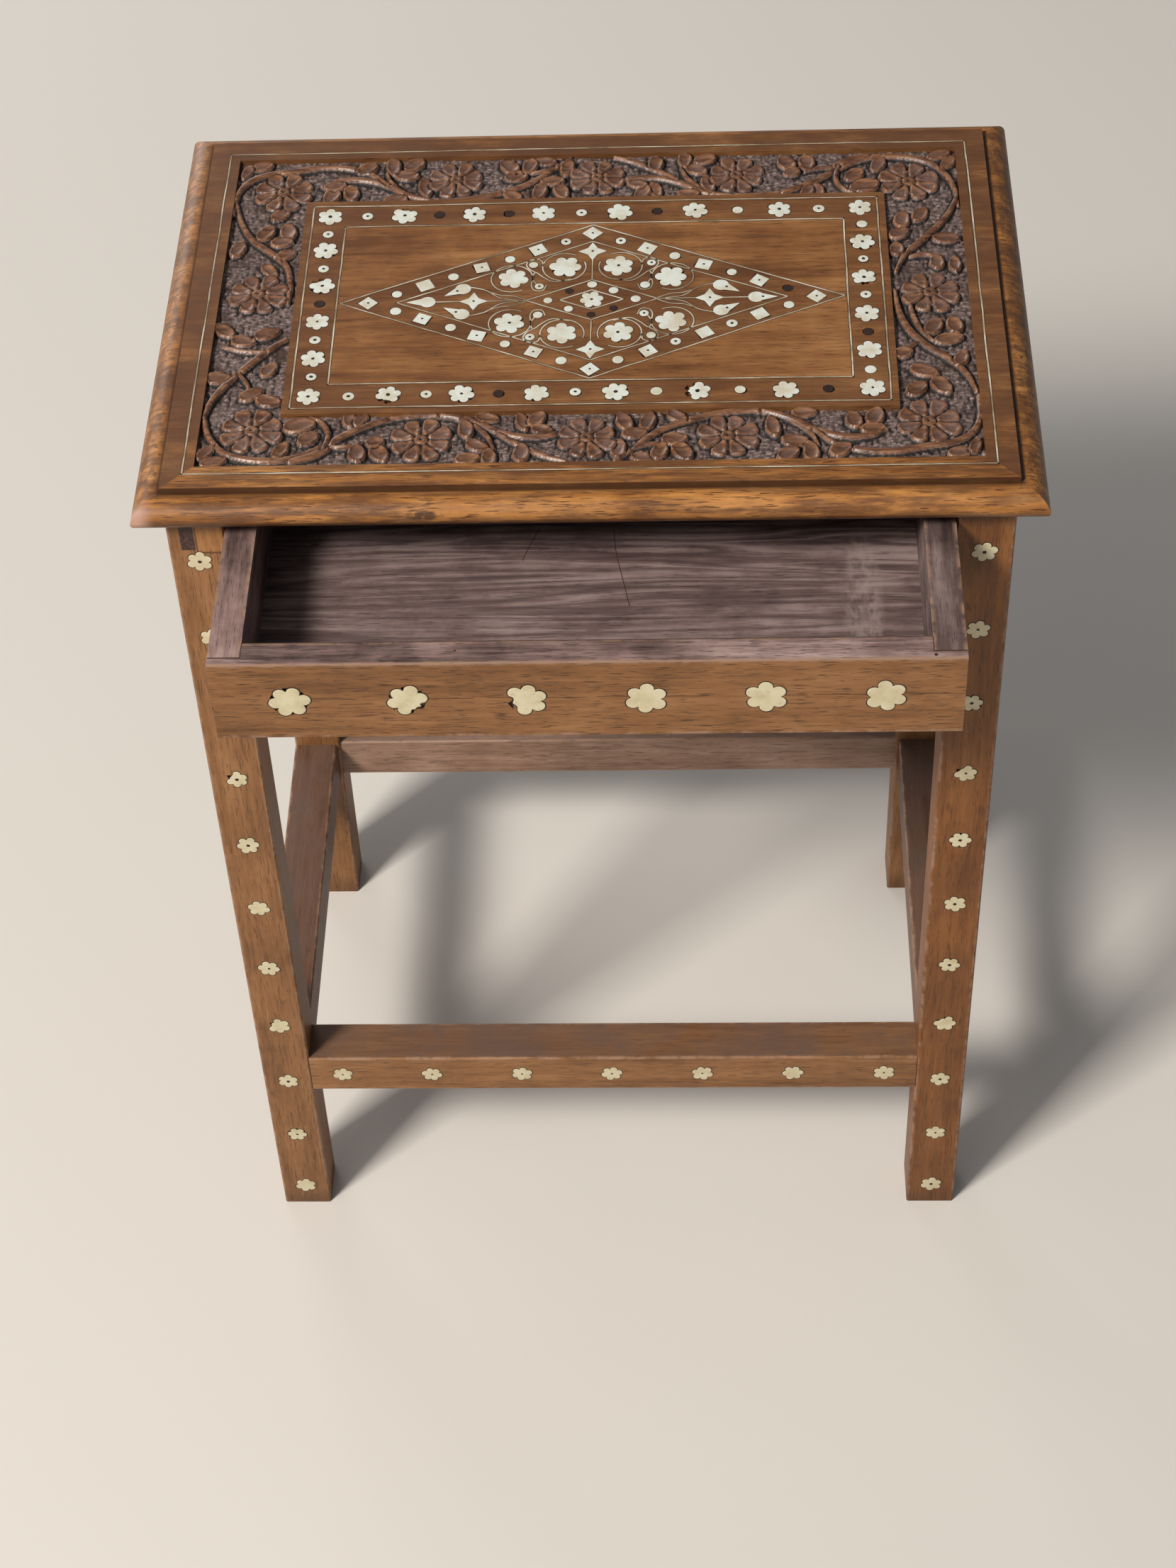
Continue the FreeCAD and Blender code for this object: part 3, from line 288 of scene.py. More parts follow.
# Bars whose long edges are rubbed: two axes, each with the faces that bound the bar, in metres
LEG_BAR = (("x", 0.1375, 0.1595), ("y", 0.0868, 0.1088))
LONG_BAR = (("y", 0.0883, 0.1088), ("z", 0.0895, 0.1125))
SHORT_BAR = (("x", 0.139, 0.1595), ("z", 0.0895, 0.1125))
FRONT_BAR = (("y", 0.1701, 0.1816), ("z", 0.4033, 0.4411))
SIDE_BAR = (("x", 0.1249, 0.1369), ("z", 0.4033, 0.4411))

# Zones of the top as half sizes, knots of its front edge as middle and half size in x and z, in metres
FIELD_EDGE = (0.1006, 0.0489)
RIM_INNER = (0.1478, 0.095)
RIM_OUTER = (0.16, 0.1072)
KNOTS = (
    ((-0.0607, 0.4535), (0.0085, 0.0022)),
    ((-0.038, 0.4495), (0.005, 0.0016)),
    ((0.0905, 0.451), (0.006, 0.0014)),
)
LEG_FACE = (-0.108, -0.1086)
WEDGE_X, WEDGE_Z = -0.1487, 0.4288
SCUFF_MIDDLE, SCUFF_HALF = (0.103, -0.128), (0.009, 0.055)

GRAIN = {"x": (1.0, 14.0, 14.0), "y": (14.0, 1.0, 14.0), "z": (14.0, 14.0, 1.0)}
FIGURE_SHARE, STREAK_SHARE, CLOUD_SHARE = 0.34, 0.28, 0.4
TONE_STOPS = (0.4, 0.51, 0.63)
RAW_ROUGH, RAW_PORE, RAW_SIZE = 0.7, 0.45, 0.55


def shaded(colour, share):
    return tuple(share * part for part in colour)


class Timber(Net):
    """Wood with its grain along one axis: a tone, the open pores and a slow cloud."""

    def __init__(self, name, along, shift, tones, pore=0.5, size=1.0):
        super().__init__(name)
        place = self.place()
        run = self.stretch(place, GRAIN[along], shift)
        figure = self.noise(run, 7.0 * size, 4.0, 0.55, 0.6)
        streak = self.noise(run, 42.0 * size, 3.0, 0.6, 0.3)
        fleck = self.noise(run, 120.0, 2.0, 0.5)
        self.cloud = self.noise(self.stretch(place, (1.0, 1.0, 1.0), shift), 24.0, 5.0, 0.65)
        tone = self.plus(self.both(figure, FIGURE_SHARE), self.both(streak, STREAK_SHARE))
        self.tone = self.plus(tone, self.both(self.cloud, CLOUD_SHARE))
        self.pores = self.step(fleck, 0.58, 0.65)
        self.colour = self.toned(tones, pore)

    def toned(self, tones, pore):
        """Colour of the wood from three tones, with darker pores."""
        colour = self.ramp(self.tone, *zip(TONE_STOPS, tones))
        return self.tint(colour, shaded(tones[0], 0.35), self.pores, pore)

    def wear(self, bar):
        """Rubs the long edges of a bar and soils what stands on the floor."""
        place = self.place()
        places = dict(zip("xyz", self.axes(place)))
        inset = []
        for axis, low, high in bar:
            off = self.less(self.math("ABSOLUTE", places[axis]), (low + high) / 2)
            inset.append(self.less((high - low) / 2, self.math("ABSOLUTE", off)))
        near = self.step(self.plus(*inset), 0.0019, 0.0003)
        chafe = self.noise(place, 120.0, 4.0, 0.65)
        self.lay(CHAFED, near, self.step(chafe, 0.4, 0.62), 0.75)
        feet = self.step(places["z"], 0.016, 0.0)
        self.lay(SOIL, feet, self.step(self.cloud, 0.3, 0.6), 0.6)

    def surfaced(self, rough, sink=0.5, depth=0.00015, strength=0.6, spread=0.22):
        """Ends the wood: its grain and sunk pores in the surface, and a cloudy gloss."""
        self.bump(self.less(self.tone, self.both(self.pores, sink)), depth, strength)
        return self.finish(self.colour, self.plus(self.both(self.cloud, spread), rough))


def wood(name, along, shift, tones, dust=0.0, bar=None, rough=0.35, pore=0.5, size=1.0):
    net = Timber(name, along, shift, tones, pore, size)
    if dust:
        net.lay(DUST, net.upward(), net.step(net.cloud, 0.25, 0.65), dust)
    if bar:
        net.wear(bar)
    return net.surfaced(rough)


def raw_wood(name, along, shift, tones=RAW_TONES, dust=0.0, bar=None):
    return wood(name, along, shift, tones, dust, bar, RAW_ROUGH, RAW_PORE, RAW_SIZE)


def top_wood():
    """Polished top: stained bands, golden moulding and front rim, knots and a bruised corner; the moulding's
    golden band is partly a painted highlight, and painted shade darkens its quirk and lower part.
    """
    net = Timber("top_wood", "x", (0.13, 0.4, 0.0), PANEL_TONES, 0.55)
    place = net.place()
    x, y, z = net.axes(place)
    halves = (net.math("ABSOLUTE", x), net.math("ABSOLUTE", y))

    def past(edges):
        return [net.less(half, edge) for half, edge in zip(halves, edges)]

    gold = net.toned(GOLD_TONES, 0.9)
    blotch = net.noise(net.stretch(place, (1.0, 2.2, 1.0)), 36.0, 5.0, 0.6)
    patchy = net.step(blotch, 0.25, 0.6)

    band = net.step(net.math("MAXIMUM", *past(FIELD_EDGE)), -0.0003, 0.0003)
    reach = net.plus(*[net.math("DIVIDE", half, size * MM) for half, size in zip(halves, DIAMOND)])
    stained = net.math("MAXIMUM", band, net.step(reach, 1.005, 0.995))
    net.lay(STAIN, stained, patchy, 0.62)

    out_x, out_y = past(RIM_OUTER)
    out = net.math("MAXIMUM", out_x, out_y)
    ends = net.both(net.step(out_x, 0.0002, 0.003), net.step(out_y, 0.004, -0.004))
    wear_run = net.noise(net.stretch(place, (1.0, 9.0, 5.0)), 34.0, 5.0, 0.65)
    wear_end = net.noise(net.stretch(place, (4.0, 2.0, 2.0)), 60.0, 5.0, 0.65)
    wear = net.mix(ends, wear_run, wear_end)
    # Golden wear on the moulding, laid as a band on its upper roll that is also a painted highlight
    wear_and_highlight_belt = net.between(z, (0.45, 0.454), (0.4596, 0.458))
    net.lay(gold, net.step(out, 0.0008, 0.003), wear_and_highlight_belt, net.step(wear, 0.4, 0.6))

    rim = net.step(net.math("MAXIMUM", *past(RIM_INNER)), 0.0, 0.0006)
    flat = net.both(rim, net.step(out, 0.0, -0.0006))
    mitre = net.step(net.less(out_y, out_x), -0.0004, 0.0004)
    front = net.both(mitre, net.step(y, 0.0, -0.01))
    others = net.less(1.0, front)
    net.lay(gold, flat, front, net.step(wear_run, 0.42, 0.62), 0.8)
    net.lay(DULLED, flat, others, patchy, 0.45)
    # Dark line along the quirk: stain and painted shade in the groove
    net.lay(QUIRK_STAIN_AND_SHADE, net.between(out, (-0.0003, 0.0001), (0.0017, 0.0004)), 0.75)
    # Darker towards the bottom of the moulding: grime and painted shade of its curve
    net.lay(GRIME_AND_PAINTED_SHADE, net.step(z, 0.454, 0.4488), net.step(wear, 0.7, 0.38), 0.85)

    face = net.step(y, -0.1085, -0.1095)
    speckle = net.step(net.noise(place, 260.0, 3.0, 0.6), 0.3, 0.6)
    for middle, half in KNOTS:
        net.lay(KNOT, net.blot(x, z, middle, half), speckle, face, 0.8)
    mottle = net.noise(net.stretch(place, (1.0, 3.0, 1.0)), 150.0, 3.0, 0.65)
    net.lay(MOTTLE, ends, net.step(mottle, 0.45, 0.68), 0.8)
    corner = net.both(net.step(x, -0.1605, -0.1685), net.step(y, -0.108, -0.116))
    net.lay(BRUISE, corner, net.step(blotch, 0.3, 0.55))
    return net.surfaced(0.3, strength=0.5, spread=0.25)


def drawer_front_wood():
    """Polished face with a raw, rubbed top edge and painted shade on its inside."""
    net = Timber("wood_drawer_front", "x", (0.61, 0.3, 0.5), WARM_TONES, 0.75)
    _, y, z = net.axes(net.place())
    face, top = DRAWER_Y * MM, DRAWER_TOP_Z * MM
    raw = net.toned(RAW_TONES, 0.6)
    net.lay(raw, net.step(y, face + 0.0004, face + 0.001))
    edge = net.step(y, face + 0.0014, face + 0.0002)
    net.lay(RUBBED, net.step(z, top - 0.0007, top - 0.0001), edge, 0.6)
    net.wear(FRONT_BAR)
    # Painted shade darkens the inner face of the front board
    net.lay(INSIDE_PAINTED_SHADE, net.step(y, face + 0.0106, face + 0.0113), 0.8)
    return net.surfaced(0.42, 0.8, 0.0002, 0.7)


def carved_wood():
    """Carved border: brown crests whose lips are lightened as wear and painted highlight, a dusty tooled
    ground, and painted shade near black in the cuts.
    """
    net = Net("carved_wood")
    net.shader.inputs["Specular IOR Level"].default_value = 0.55
    place = net.place()
    z = net.axes(place)[2]
    # Cavity of the relief; it drives the painted shade in the cuts and the painted highlight on the lips
    hollow = net.add("ShaderNodeAttribute", "Fac", {}, attribute_name="hollow")
    grain = net.noise(net.stretch(place, (1.0, 6.0, 6.0)), 80.0, 3.0, 0.6)
    patch = net.noise(place, 85.0, 4.0, 0.6)
    strokes = net.noise(net.stretch(place, (1.0, 1.8, 1.0)), 430.0, 3.0, 0.7)
    crest = net.ramp(grain, *zip((0.34, 0.52, 0.7), CREST_TONES))
    ground = net.ramp(strokes, *zip((0.36, 0.52, 0.68), GROUND_TONES))
    shade = net.ramp(strokes, *zip((0.35, 0.65), SHADE_TONES))
    ground = net.tint(shade, ground, net.step(patch, 0.34, 0.5))
    rise = net.step(z, 0.4581, 0.4589)
    net.colour = net.tint(ground, crest, rise)
    flank = net.step(z, 0.4596, 0.4588)
    net.lay(SETTLED, rise, flank, net.step(patch, 0.4, 0.62), 0.6)
    # Ridges lightened: wear and painted highlight
    lip_wear_and_highlight = net.step(hollow, -0.25, -0.6)
    net.lay(LIP_WEAR_AND_HIGHLIGHT, rise, lip_wear_and_highlight, net.step(grain, 0.4, 0.62), 0.45)
    # Painted shade: near black in the cuts, from the cavity of the relief
    net.lay(CREVICE_SHADE, net.step(hollow, 0.02, 0.5))
    return net.finish(net.colour, net.plus(net.both(rise, -0.34), 0.72))


def corner_leg_wood():
    """Left front leg with a paler wedge beside the tenon."""
    net = Timber("wood_leg_front_left", "z", (0.0, 0.1, 0.2), WARM_TONES)
    x, y, z = net.axes(net.place())
    across = net.less(x, WEDGE_X)
    over = net.less(z, WEDGE_Z)
    beside = net.step(across, -0.0003, 0.0003)
    wedge = net.toned(GOLD_TONES, 0.4)
    net.lay(wedge, beside, net.step(over, -0.0003, 0.0004), 0.3)
    seam = net.between(across, (-0.0005, -0.0001), (0.0007, 0.0002))
    seam = net.both(seam, net.step(over, -0.0018, 0.0002))
    foot = net.both(net.between(over, (-0.001, -0.0004), (0.0006, 0.0)), beside)
    net.lay(SEAM, net.math("MAXIMUM", seam, foot), net.step(y, *LEG_FACE), 0.7)
    net.wear(LEG_BAR)
    return net.surfaced(0.35)


def tenoned_wood():
    """Left apron; the end of its tenon is dark end grain."""
    net = Timber("wood_apron_left", "y", (0.4, 0.46, 0.1), DEEP_TONES)
    place = net.place()
    end = net.ramp(net.noise(place, 700.0, 3.0, 0.6), *zip((0.35, 0.65), END_TONES))
    net.lay(end, net.step(net.axes(place)[1], *LEG_FACE))
    return net.surfaced(0.45)


def floor_wood():
    """Raw boards with wavy growth lines and a scuffed patch."""
    net = Timber("raw_boards", "x", (0.5, 0.1, 0.3), FLOOR_TONES, RAW_PORE, RAW_SIZE)
    place = net.place()
    x, y, _ = net.axes(place)
    growth = net.noise(net.stretch(place, (0.4, 7.0, 7.0), (0.2, 0.6, 0.0)), 9.0, 2.5, 0.5, 0.25)
    rings = net.math("PINGPONG", net.both(growth, 20.0), 1.0)
    clear = net.step(net.cloud, 0.28, 0.58)
    net.lay(LATE_WOOD, net.step(rings, 0.45, 0.04), clear, 0.6)
    net.lay(EARLY_WOOD, net.step(rings, 0.6, 1.0), clear, 0.5)
    rub = net.noise(net.stretch(place, (2.0, 1.0, 1.0)), 160.0, 4.0, 0.65)
    patch = net.blot(x, y, SCUFF_MIDDLE, SCUFF_HALF)
    net.lay(SCUFF, patch, net.step(rub, 0.35, 0.65), 0.55)
    return net.surfaced(RAW_ROUGH)


def bone_material(name, pale, warm):
    net = Net(name)
    place = net.place()
    stain = net.noise(place, 130.0, 4.0, 0.6)
    scratch = net.noise(net.stretch(place, (1.0, 6.0, 1.0)), 500.0, 2.0, 0.5)
    colour = net.ramp(stain, (0.34, warm), (0.58, pale), (1.0, pale))
    colour = net.tint(colour, shaded(warm, 0.55), net.step(scratch, 0.6, 0.75), 0.35)
    net.bump(scratch, 0.00005, 0.4)
    return net.finish(colour, 0.42)


def even_material(name, colour, rough, metal=0.0):
    net = Net(name)
    stain = net.noise(net.place(), 160.0, 3.0, 0.6)
    net.shader.inputs["Metallic"].default_value = metal
    return net.finish(net.ramp(stain, (0.3, shaded(colour, 0.6)), (0.65, colour)), rough)


def wire_material():
    """Brass, pale where filed and dull where waxed."""
    net = Net("wire")
    filed = net.noise(net.place(), 55.0, 4.0, 0.65)
    net.shader.inputs["Metallic"].default_value = 0.15
    return net.finish(net.ramp(filed, *zip((0.36, 0.52, 0.66), BRASS_TONES)), 0.45)


# Mesh helpers; a frame is (origin, right, up, outward), in millimetres

RIGHT, DEEP, UP = np.eye(3)


def level_frame(z):
    return (z * UP, RIGHT, DEEP, UP)


def front_frame(y):
    return (y * DEEP, RIGHT, UP, -DEEP)


TOP_FRAME = level_frame(TOP_Z)


class Pieces:
    """Collects polygons, laid on a frame, and turns them into one object."""

    def __init__(self, name, body, slot, materials, base, *nodes):
        self.name, self.body, self.slot, self.nodes = name, body, slot, nodes
        self.materials, self.base = materials, base
        self.points, self.faces, self.looks = [], [], []

    def ring(self, places, height):
        """Adds a loop of points at a height above the frame; returns their numbers."""
        origin, right, up, out = self.base
        first = len(self.points)
        for u, v in places:
            self.points.append(tuple((origin + right * u + up * v + out * height) * MM))
        return list(range(first, len(self.points)))

    def face(self, corners, look):
        self.faces.append(tuple(corners))
        self.looks.append(look)

    def bridge(self, low, high, look):
        count = len(low)
        for i in range(count):
            j = (i + 1) % count
            self.face((low[i], low[j], high[j], high[i]), look)

    def plate(self, outline, low, high, look):
        """A flat piece with upright edges."""
        bottom = self.ring(outline, low)
        top = self.ring(outline, high)
        self.bridge(bottom, top, look)
        self.face(top, look)

    def build(self):
        mesh = bpy.data.meshes.new(self.name)
        mesh.from_pydata(self.points, [], self.faces)
        for material in self.materials:
            mesh.materials.append(material)
        mesh.polygons.foreach_set("material_index", self.looks)
        mesh.update()
        piece = add_object(self.name, mesh)
        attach(piece, self.body)
        if self.nodes:
            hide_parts(*self.nodes)


def spline(points, step):
    """Points of a smooth curve through the given ones, about a step apart."""
    p = np.array(points, float)
    p = np.vstack([2 * p[0] - p[1], p, 2 * p[-1] - p[-2]])
    out = []
    for a, b, c, d in zip(p, p[1:], p[2:], p[3:]):
        count = max(2, int(np.hypot(*(c - b)) / step))
        for t in np.arange(count) / count:
            out.append(0.5 * (2 * b + (c - a) * t + (2 * a - 5 * b + 4 * c - d) * t * t
                              + (3 * b - a - 3 * c + d) * t ** 3))
    out.append(p[-2])
    return np.array(out)


# Carved border, as heights above the ground of the recess

GRID = 0.515
GROUND, TOOLING, SWELL = 0.62, 0.2, 0.12
CREST = 2.6
LEAF_DISH = 1.15
ROSETTE_PETALS = 8


def unit(value):
    return np.clip(value, 0, 1)


class Relief:
    def __init__(self):
        half_x, half_y = RECESS_OUTER
        self.x = np.linspace(-half_x, half_x, int(2 * half_x / GRID) + 1)
        self.y = np.linspace(-half_y, half_y, int(2 * half_y / GRID) + 1)
        shape = (len(self.y), len(self.x))
        rough = self.blurred(RNG.normal(size=shape), 0.55, 1.5)
        swell = self.blurred(RNG.normal(size=shape), 4.0, 4.0)
        self.h = GROUND + TOOLING * rough / rough.std() + SWELL * swell / swell.std()

    def blurred(self, field, width_x, width_y):
        """Gaussian blur with widths in millimetres."""
        fy = np.fft.fftfreq(field.shape[0], GRID)[:, None]
        fx = np.fft.rfftfreq(field.shape[1], GRID)[None, :]
        soften = np.exp(-2 * (0.6 * math.pi) ** 2 * ((fx * width_x) ** 2 + (fy * width_y) ** 2))
        return np.fft.irfft2(np.fft.rfft2(field) * soften, s=field.shape)

    def window(self, x, y, reach):
        """The part of the grid near a place, with its offsets from there."""
        i0, i1 = np.searchsorted(self.x, (x - reach, x + reach))
        j0, j1 = np.searchsorted(self.y, (y - reach, y + reach))
        cut = (slice(j0, j1), slice(i0, i1))
        gx, gy = np.meshgrid(self.x[cut[1]], self.y[cut[0]])
        return cut, gx - x, gy - y

    def stamp(self, cut, inside, height):
        """Sets a piece over what lies there: inside is a distance within its outline."""
        old = self.h[cut]
        groove = np.exp(-((inside + 0.35) / 0.35) ** 2)
        old = old - groove * (0.3 + unit(old - 0.9))
        share = unit((inside + 0.25) / 0.5)
        share = share * share * (3 - 2 * share)
        self.h[cut] = old * (1 - share) + height * share

    def vine(self, points, width):
        """A flat-topped stem; its ends thin out."""
        line = spline(points, 0.4)
        along = np.linspace(0, 1, len(line))
        half = 0.42 * width * (0.55 + 0.45 * np.sin(np.pi * unit(along * 1.1 - 0.05)) ** 0.6)
        far, margin = -8.0, 1.4
        near = np.full(self.h.shape, far)
        for (x, y), reach in zip(line, half):
            cut, dx, dy = self.window(x, y, reach + margin)
            near[cut] = np.maximum(near[cut], reach - np.hypot(dx, dy))
        rows, columns = np.where(near > -margin)
        cut = (slice(rows.min(), rows.max() + 1), slice(columns.min(), columns.max() + 1))
        inside = near[cut]
        height = CREST - 0.25 * unit(1 - inside / (0.25 * width)) ** 2
        self.stamp(cut, inside, height)

    def leaf(self, x, y, length, width, turn):
        """A pointed leaf with an eye-shaped hollow."""
        length, width = 1.1 * length, 1.12 * width
        cut, dx, dy = self.window(x, y, length / 2 + 1.5)
        a = math.radians(turn)
        u = (dx * math.cos(a) + dy * math.sin(a)) / (length / 2)
        v = dy * math.cos(a) - dx * math.sin(a)
        edge = width / 2 * unit(1 - np.abs(u) ** 2.2) ** 0.7 * (1 - 0.15 * u)
        inside = np.minimum(edge - np.abs(v), (1 - np.abs(u)) * length / 2)
        across = unit(1 - (v / (0.72 * edge + 0.01)) ** 2)
        dish = LEAF_DISH * np.sqrt(across * unit(1 - (u / 0.8) ** 2))
        self.stamp(cut, inside, CREST - dish - 0.15 * u)

    def rosette(self, x, y, radius, turn):
        """Hollowed petals round a drilled boss, over the plain rosette of the solid."""
        cut, dx, dy = self.window(x, y, radius + 2.0)
        r = np.hypot(dx, dy)
        step = 2 * math.pi / ROSETTE_PETALS
        angle = np.arctan2(dy, dx) - turn - step / 2
        nearest = np.round(angle / step)
        number = nearest.astype(int) % ROSETTE_PETALS
        t = (angle - step * nearest) / (step / 2)
        lift = RNG.uniform(-0.25, 0.12, ROSETTE_PETALS)[number]
        reach = radius * RNG.uniform(0.96, 1.05, ROSETTE_PETALS)[number]
        edge = reach * (1 - 0.06 * t ** 2 - 0.26 * t ** 4)
        eye = unit(1 - ((r - 0.64 * reach) / (0.27 * reach)) ** 2)
        eye = eye * unit(1 - (t / 0.66) ** 2)
        gap = np.exp(-((1 - np.abs(t)) * r * step / 2 / (0.42 + 0.035 * r)) ** 2)
        gap = gap * unit((r - 2.2) / 1.5)
        height = 2.65 + lift - 1.15 * eye ** 0.6 - 2.0 * gap - 0.35 * (r / radius) ** 2
        boss = 0.22 * radius
        height = np.where(r < boss, 2.68 - 0.3 * (r / boss) ** 2, height)
        height -= 1.0 * np.exp(-((r - boss - 0.25) / 0.35) ** 2)
        height -= 1.2 * np.exp(-(r / 0.8) ** 4)
        solid = 0.93 * radius * (1 - 0.36 * np.abs(t)) + 0.5
        self.stamp(cut, edge - r, np.maximum(height, np.where(r < solid, 1.32, 0.45)))

    def build(self, material):
        x, y = np.meshgrid(self.x, self.y)
        keep = (np.abs(x) > RECESS_INNER[0] - GRID) | (np.abs(y) > RECESS_INNER[1] - GRID)
        number = np.full(self.h.shape, -1)
        number[keep] = np.arange(keep.sum())
        self.h = np.clip(self.h, 0.08, 2.75)
        # Cavity of the relief, for painted shade in its cuts and, where negative, the lip wear and painted
        # highlight on its ridges
        near = self.blurred(self.h, 1.3, 1.3) - self.h
        broad_shade = unit(self.blurred(self.h, 3.2, 3.2) - self.h)
        hollow = np.clip(np.where(near < 0, near, 0.75 * near + 0.35 * broad_shade), -1, 1)
        points = np.stack([x[keep], y[keep], self.h[keep] + RECESS_FLOOR], -1) * MM
        corners = np.stack([number[:-1, :-1], number[:-1, 1:], number[1:, 1:], number[1:, :-1]], -1)
        corners = corners.reshape(-1, 4)
        corners = corners[(corners >= 0).all(1)]
        mesh = bpy.data.meshes.new("carved_border")
        mesh.from_pydata(points.tolist(), [], corners.tolist())
        mesh.polygons.foreach_set("use_smooth", [True] * len(mesh.polygons))
        depth = mesh.attributes.new("hollow", "FLOAT", "POINT")
        depth.data.foreach_set("value", hollow[keep].astype(np.float32))
        mesh.materials.append(material)
        piece = add_object("carved_border", mesh)
        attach(piece, "table")


def carve(relief, parts, half_turn=False):
    """Carves one stretch of the border, turned by half a circle where asked."""
    sign, swing = (-1, 180) if half_turn else (1, 0)
    stems, leaves = parts
    for points, width in stems:
        relief.vine(sign * np.array(points), width)
    for x, y, length, width, turn in leaves:
        relief.leaf(sign * x, sign * y, length, width, turn - swing)


# Each stretch has its stems, as points and a width, then its leaves, as a place, a length, a width
# and a turn in degrees; a rosette has a place, a radius and a turn in radians
FRONT_LEFT = ((
    (((-147, -58), (-146.5, -68), (-143.5, -78), (-137, -86.5), (-127, -90.5), (-116, -91), (-107, -88.5),
      (-98, -82), (-90, -75.5), (-80, -70), (-70, -67), (-62, -66)), 3.4),
    (((-112, -92), (-104, -89), (-97, -84)), 4.0),
    (((-100, -85), (-98.5, -77), (-101, -70.5), (-106, -67)), 2.6),
    (((-75, -68), (-62, -66.5), (-51, -68), (-43, -72.5), (-38, -79), (-35.5, -86)), 2.8),
    (((-56, -66.5), (-44, -69.5), (-35, -76), (-25, -79.5), (-15, -79), (-8, -76)), 3.2),
    (((-34, -78), (-26, -84), (-17, -90), (-8, -94)), 3.0),
    (((-97, -84), (-91, -84), (-86, -82)), 1.8),
), (
    (-110, -71.5, 12, 7.5, 15), (-106, -79, 9, 6, 40), (-116, -85.5, 9.5, 5.2, 65),
    (-144.5, -86, 9, 4.6, 55), (-141, -91.5, 10, 4.6, 20),
    (-91, -68.5, 9, 5, 100), (-86.5, -68.5, 8, 4.4, 60),
    (-87, -87.5, 9.5, 6.2, 95), (-78.5, -88, 9.5, 6.4, -60), (-80.5, -81.5, 7, 5, 20),
    (-46.5, -74.5, 10.5, 5.4, 100), (-41.5, -84.5, 9.5, 5.4, -25), (-45, -91.5, 9.5, 5.4, 15),
    (-37, -91, 9, 5.4, 90), (-25, -88.5, 9.5, 5.8, 85), (-38.5, -68.5, 9, 4.8, -10),
    (-25, -71, 9.5, 5, 105), (-19.5, -69.5, 9, 5.4, 60), (-17.5, -75.5, 8, 4.6, -10),
))
FRONT_RIGHT = ((
    (((10, -94), (17, -87), (24, -79.5), (32, -74), (42, -70), (53, -67), (63, -66.5), (72, -69), (79, -74),
      (84, -80), (86, -86)), 3.2),
    (((66, -66.5), (77, -71), (85, -77.5), (95, -81.5), (105, -81.5), (112, -77.5)), 3.4),
    (((85, -78), (92, -85), (102, -89.5), (114, -90.5), (126, -88), (136, -86), (143, -81.5), (147, -73),
      (147.5, -60)), 3.4),
    (((17, -87), (22, -85), (27, -84)), 1.8),
), (
    (13.5, -71.5, 10, 5.6, 110), (22.5, -71.5, 10.5, 5.4, 75), (17.5, -78.5, 9.5, 5, 5),
    (33.5, -69, 8.5, 5, -35), (11.5, -87, 10, 5.4, 80), (21, -92, 9.5, 4.4, -5),
    (32.5, -82, 9.5, 6, 10), (27, -88.5, 9, 5.6, 70), (35.5, -89, 10, 6.4, -55),
    (69.5, -75.5, 11.5, 5.2, 100), (78, -84, 10.5, 6, -10), (75, -91, 9.5, 6, 40),
    (83.5, -90, 10.5, 5.6, 95), (81.5, -68, 9.5, 4.8, 5), (94.5, -89, 9, 6.2, 35),
    (100, -72.5, 9, 6, 100), (108, -70.5, 9.5, 6.4, 70), (107, -77.5, 9, 5.2, 10),
    (139, -91.5, 10, 5, 15), (144.5, -88, 8.5, 4, 70),
))
LEFT_SIDE = ((
    (((-146.5, 66), (-143.5, 54), (-138, 43), (-130, 34.5), (-123, 26), (-120.5, 14), (-120.5, 2)), 3.2),
    (((-119, -20), (-126, -27), (-133, -36), (-140, -46), (-145, -56), (-147, -66)), 3.4),
    (((-136, -40), (-132, -47), (-131, -53)), 2.0),
    (((-124, 29), (-121, 34)), 2.4), (((-127, -28), (-136, -27), (-144, -24)), 2.0),
), (
    (-143.5, 37, 10, 5.4, 70), (-123.5, 33, 8, 5, 30), (-129.5, 23, 9, 4.6, -50),
    (-144, -14.5, 10, 5.6, -40), (-136, -21, 9.5, 6, -5), (-127, -16.5, 10.5, 5.6, 25),
    (-144, -43, 9.5, 6, 5), (-124.5, -38.5, 9, 5, 60), (-130, -53, 10, 5.6, 35),
    (-123, -57, 9.5, 6, -10), (-133, 47, 10, 6, 60), (-124, 48, 10, 6.2, 95),
    (-126, 41, 9, 5.4, 10), (-128, 59, 9, 5, 40),
))
RIGHT_SIDE = ((
    (((147, 64), (143, 53), (137, 43), (130, 34), (124, 26), (120, 16)), 3.2),
    (((119, 4), (120, -8), (123.5, -20), (130, -30), (138, -38), (144, -47), (147, -57)), 3.4),
    (((124.5, 2), (125, -9), (128, -20), (133, -28)), 2.4),
    (((126, 25), (132, 26.5), (138, 24)), 2.4), (((126, -28), (122, -31), (119, -33)), 2.2),
), (
    (133, -18.5, 10, 6, 60), (141, -17.5, 9.5, 6, 100), (138.5, -26, 11, 5.6, 15),
    (120.5, -34, 7.5, 5.4, 20), (142.5, -37.5, 9, 5, 70), (128, -45, 11, 6, -20),
    (124.5, -55, 9.5, 6, 40), (134, -53.5, 10, 6.4, -55), (141, 36.5, 10.5, 5.6, 0),
    (121, 30, 8, 5.4, 90), (136.5, 21.5, 8.5, 5.4, 90), (143.5, 20, 9, 4.6, 90),
    (124, 49, 10, 6, 80), (131.5, 52, 9.5, 5.4, 60), (122.5, 40, 9, 5.4, 30),
))
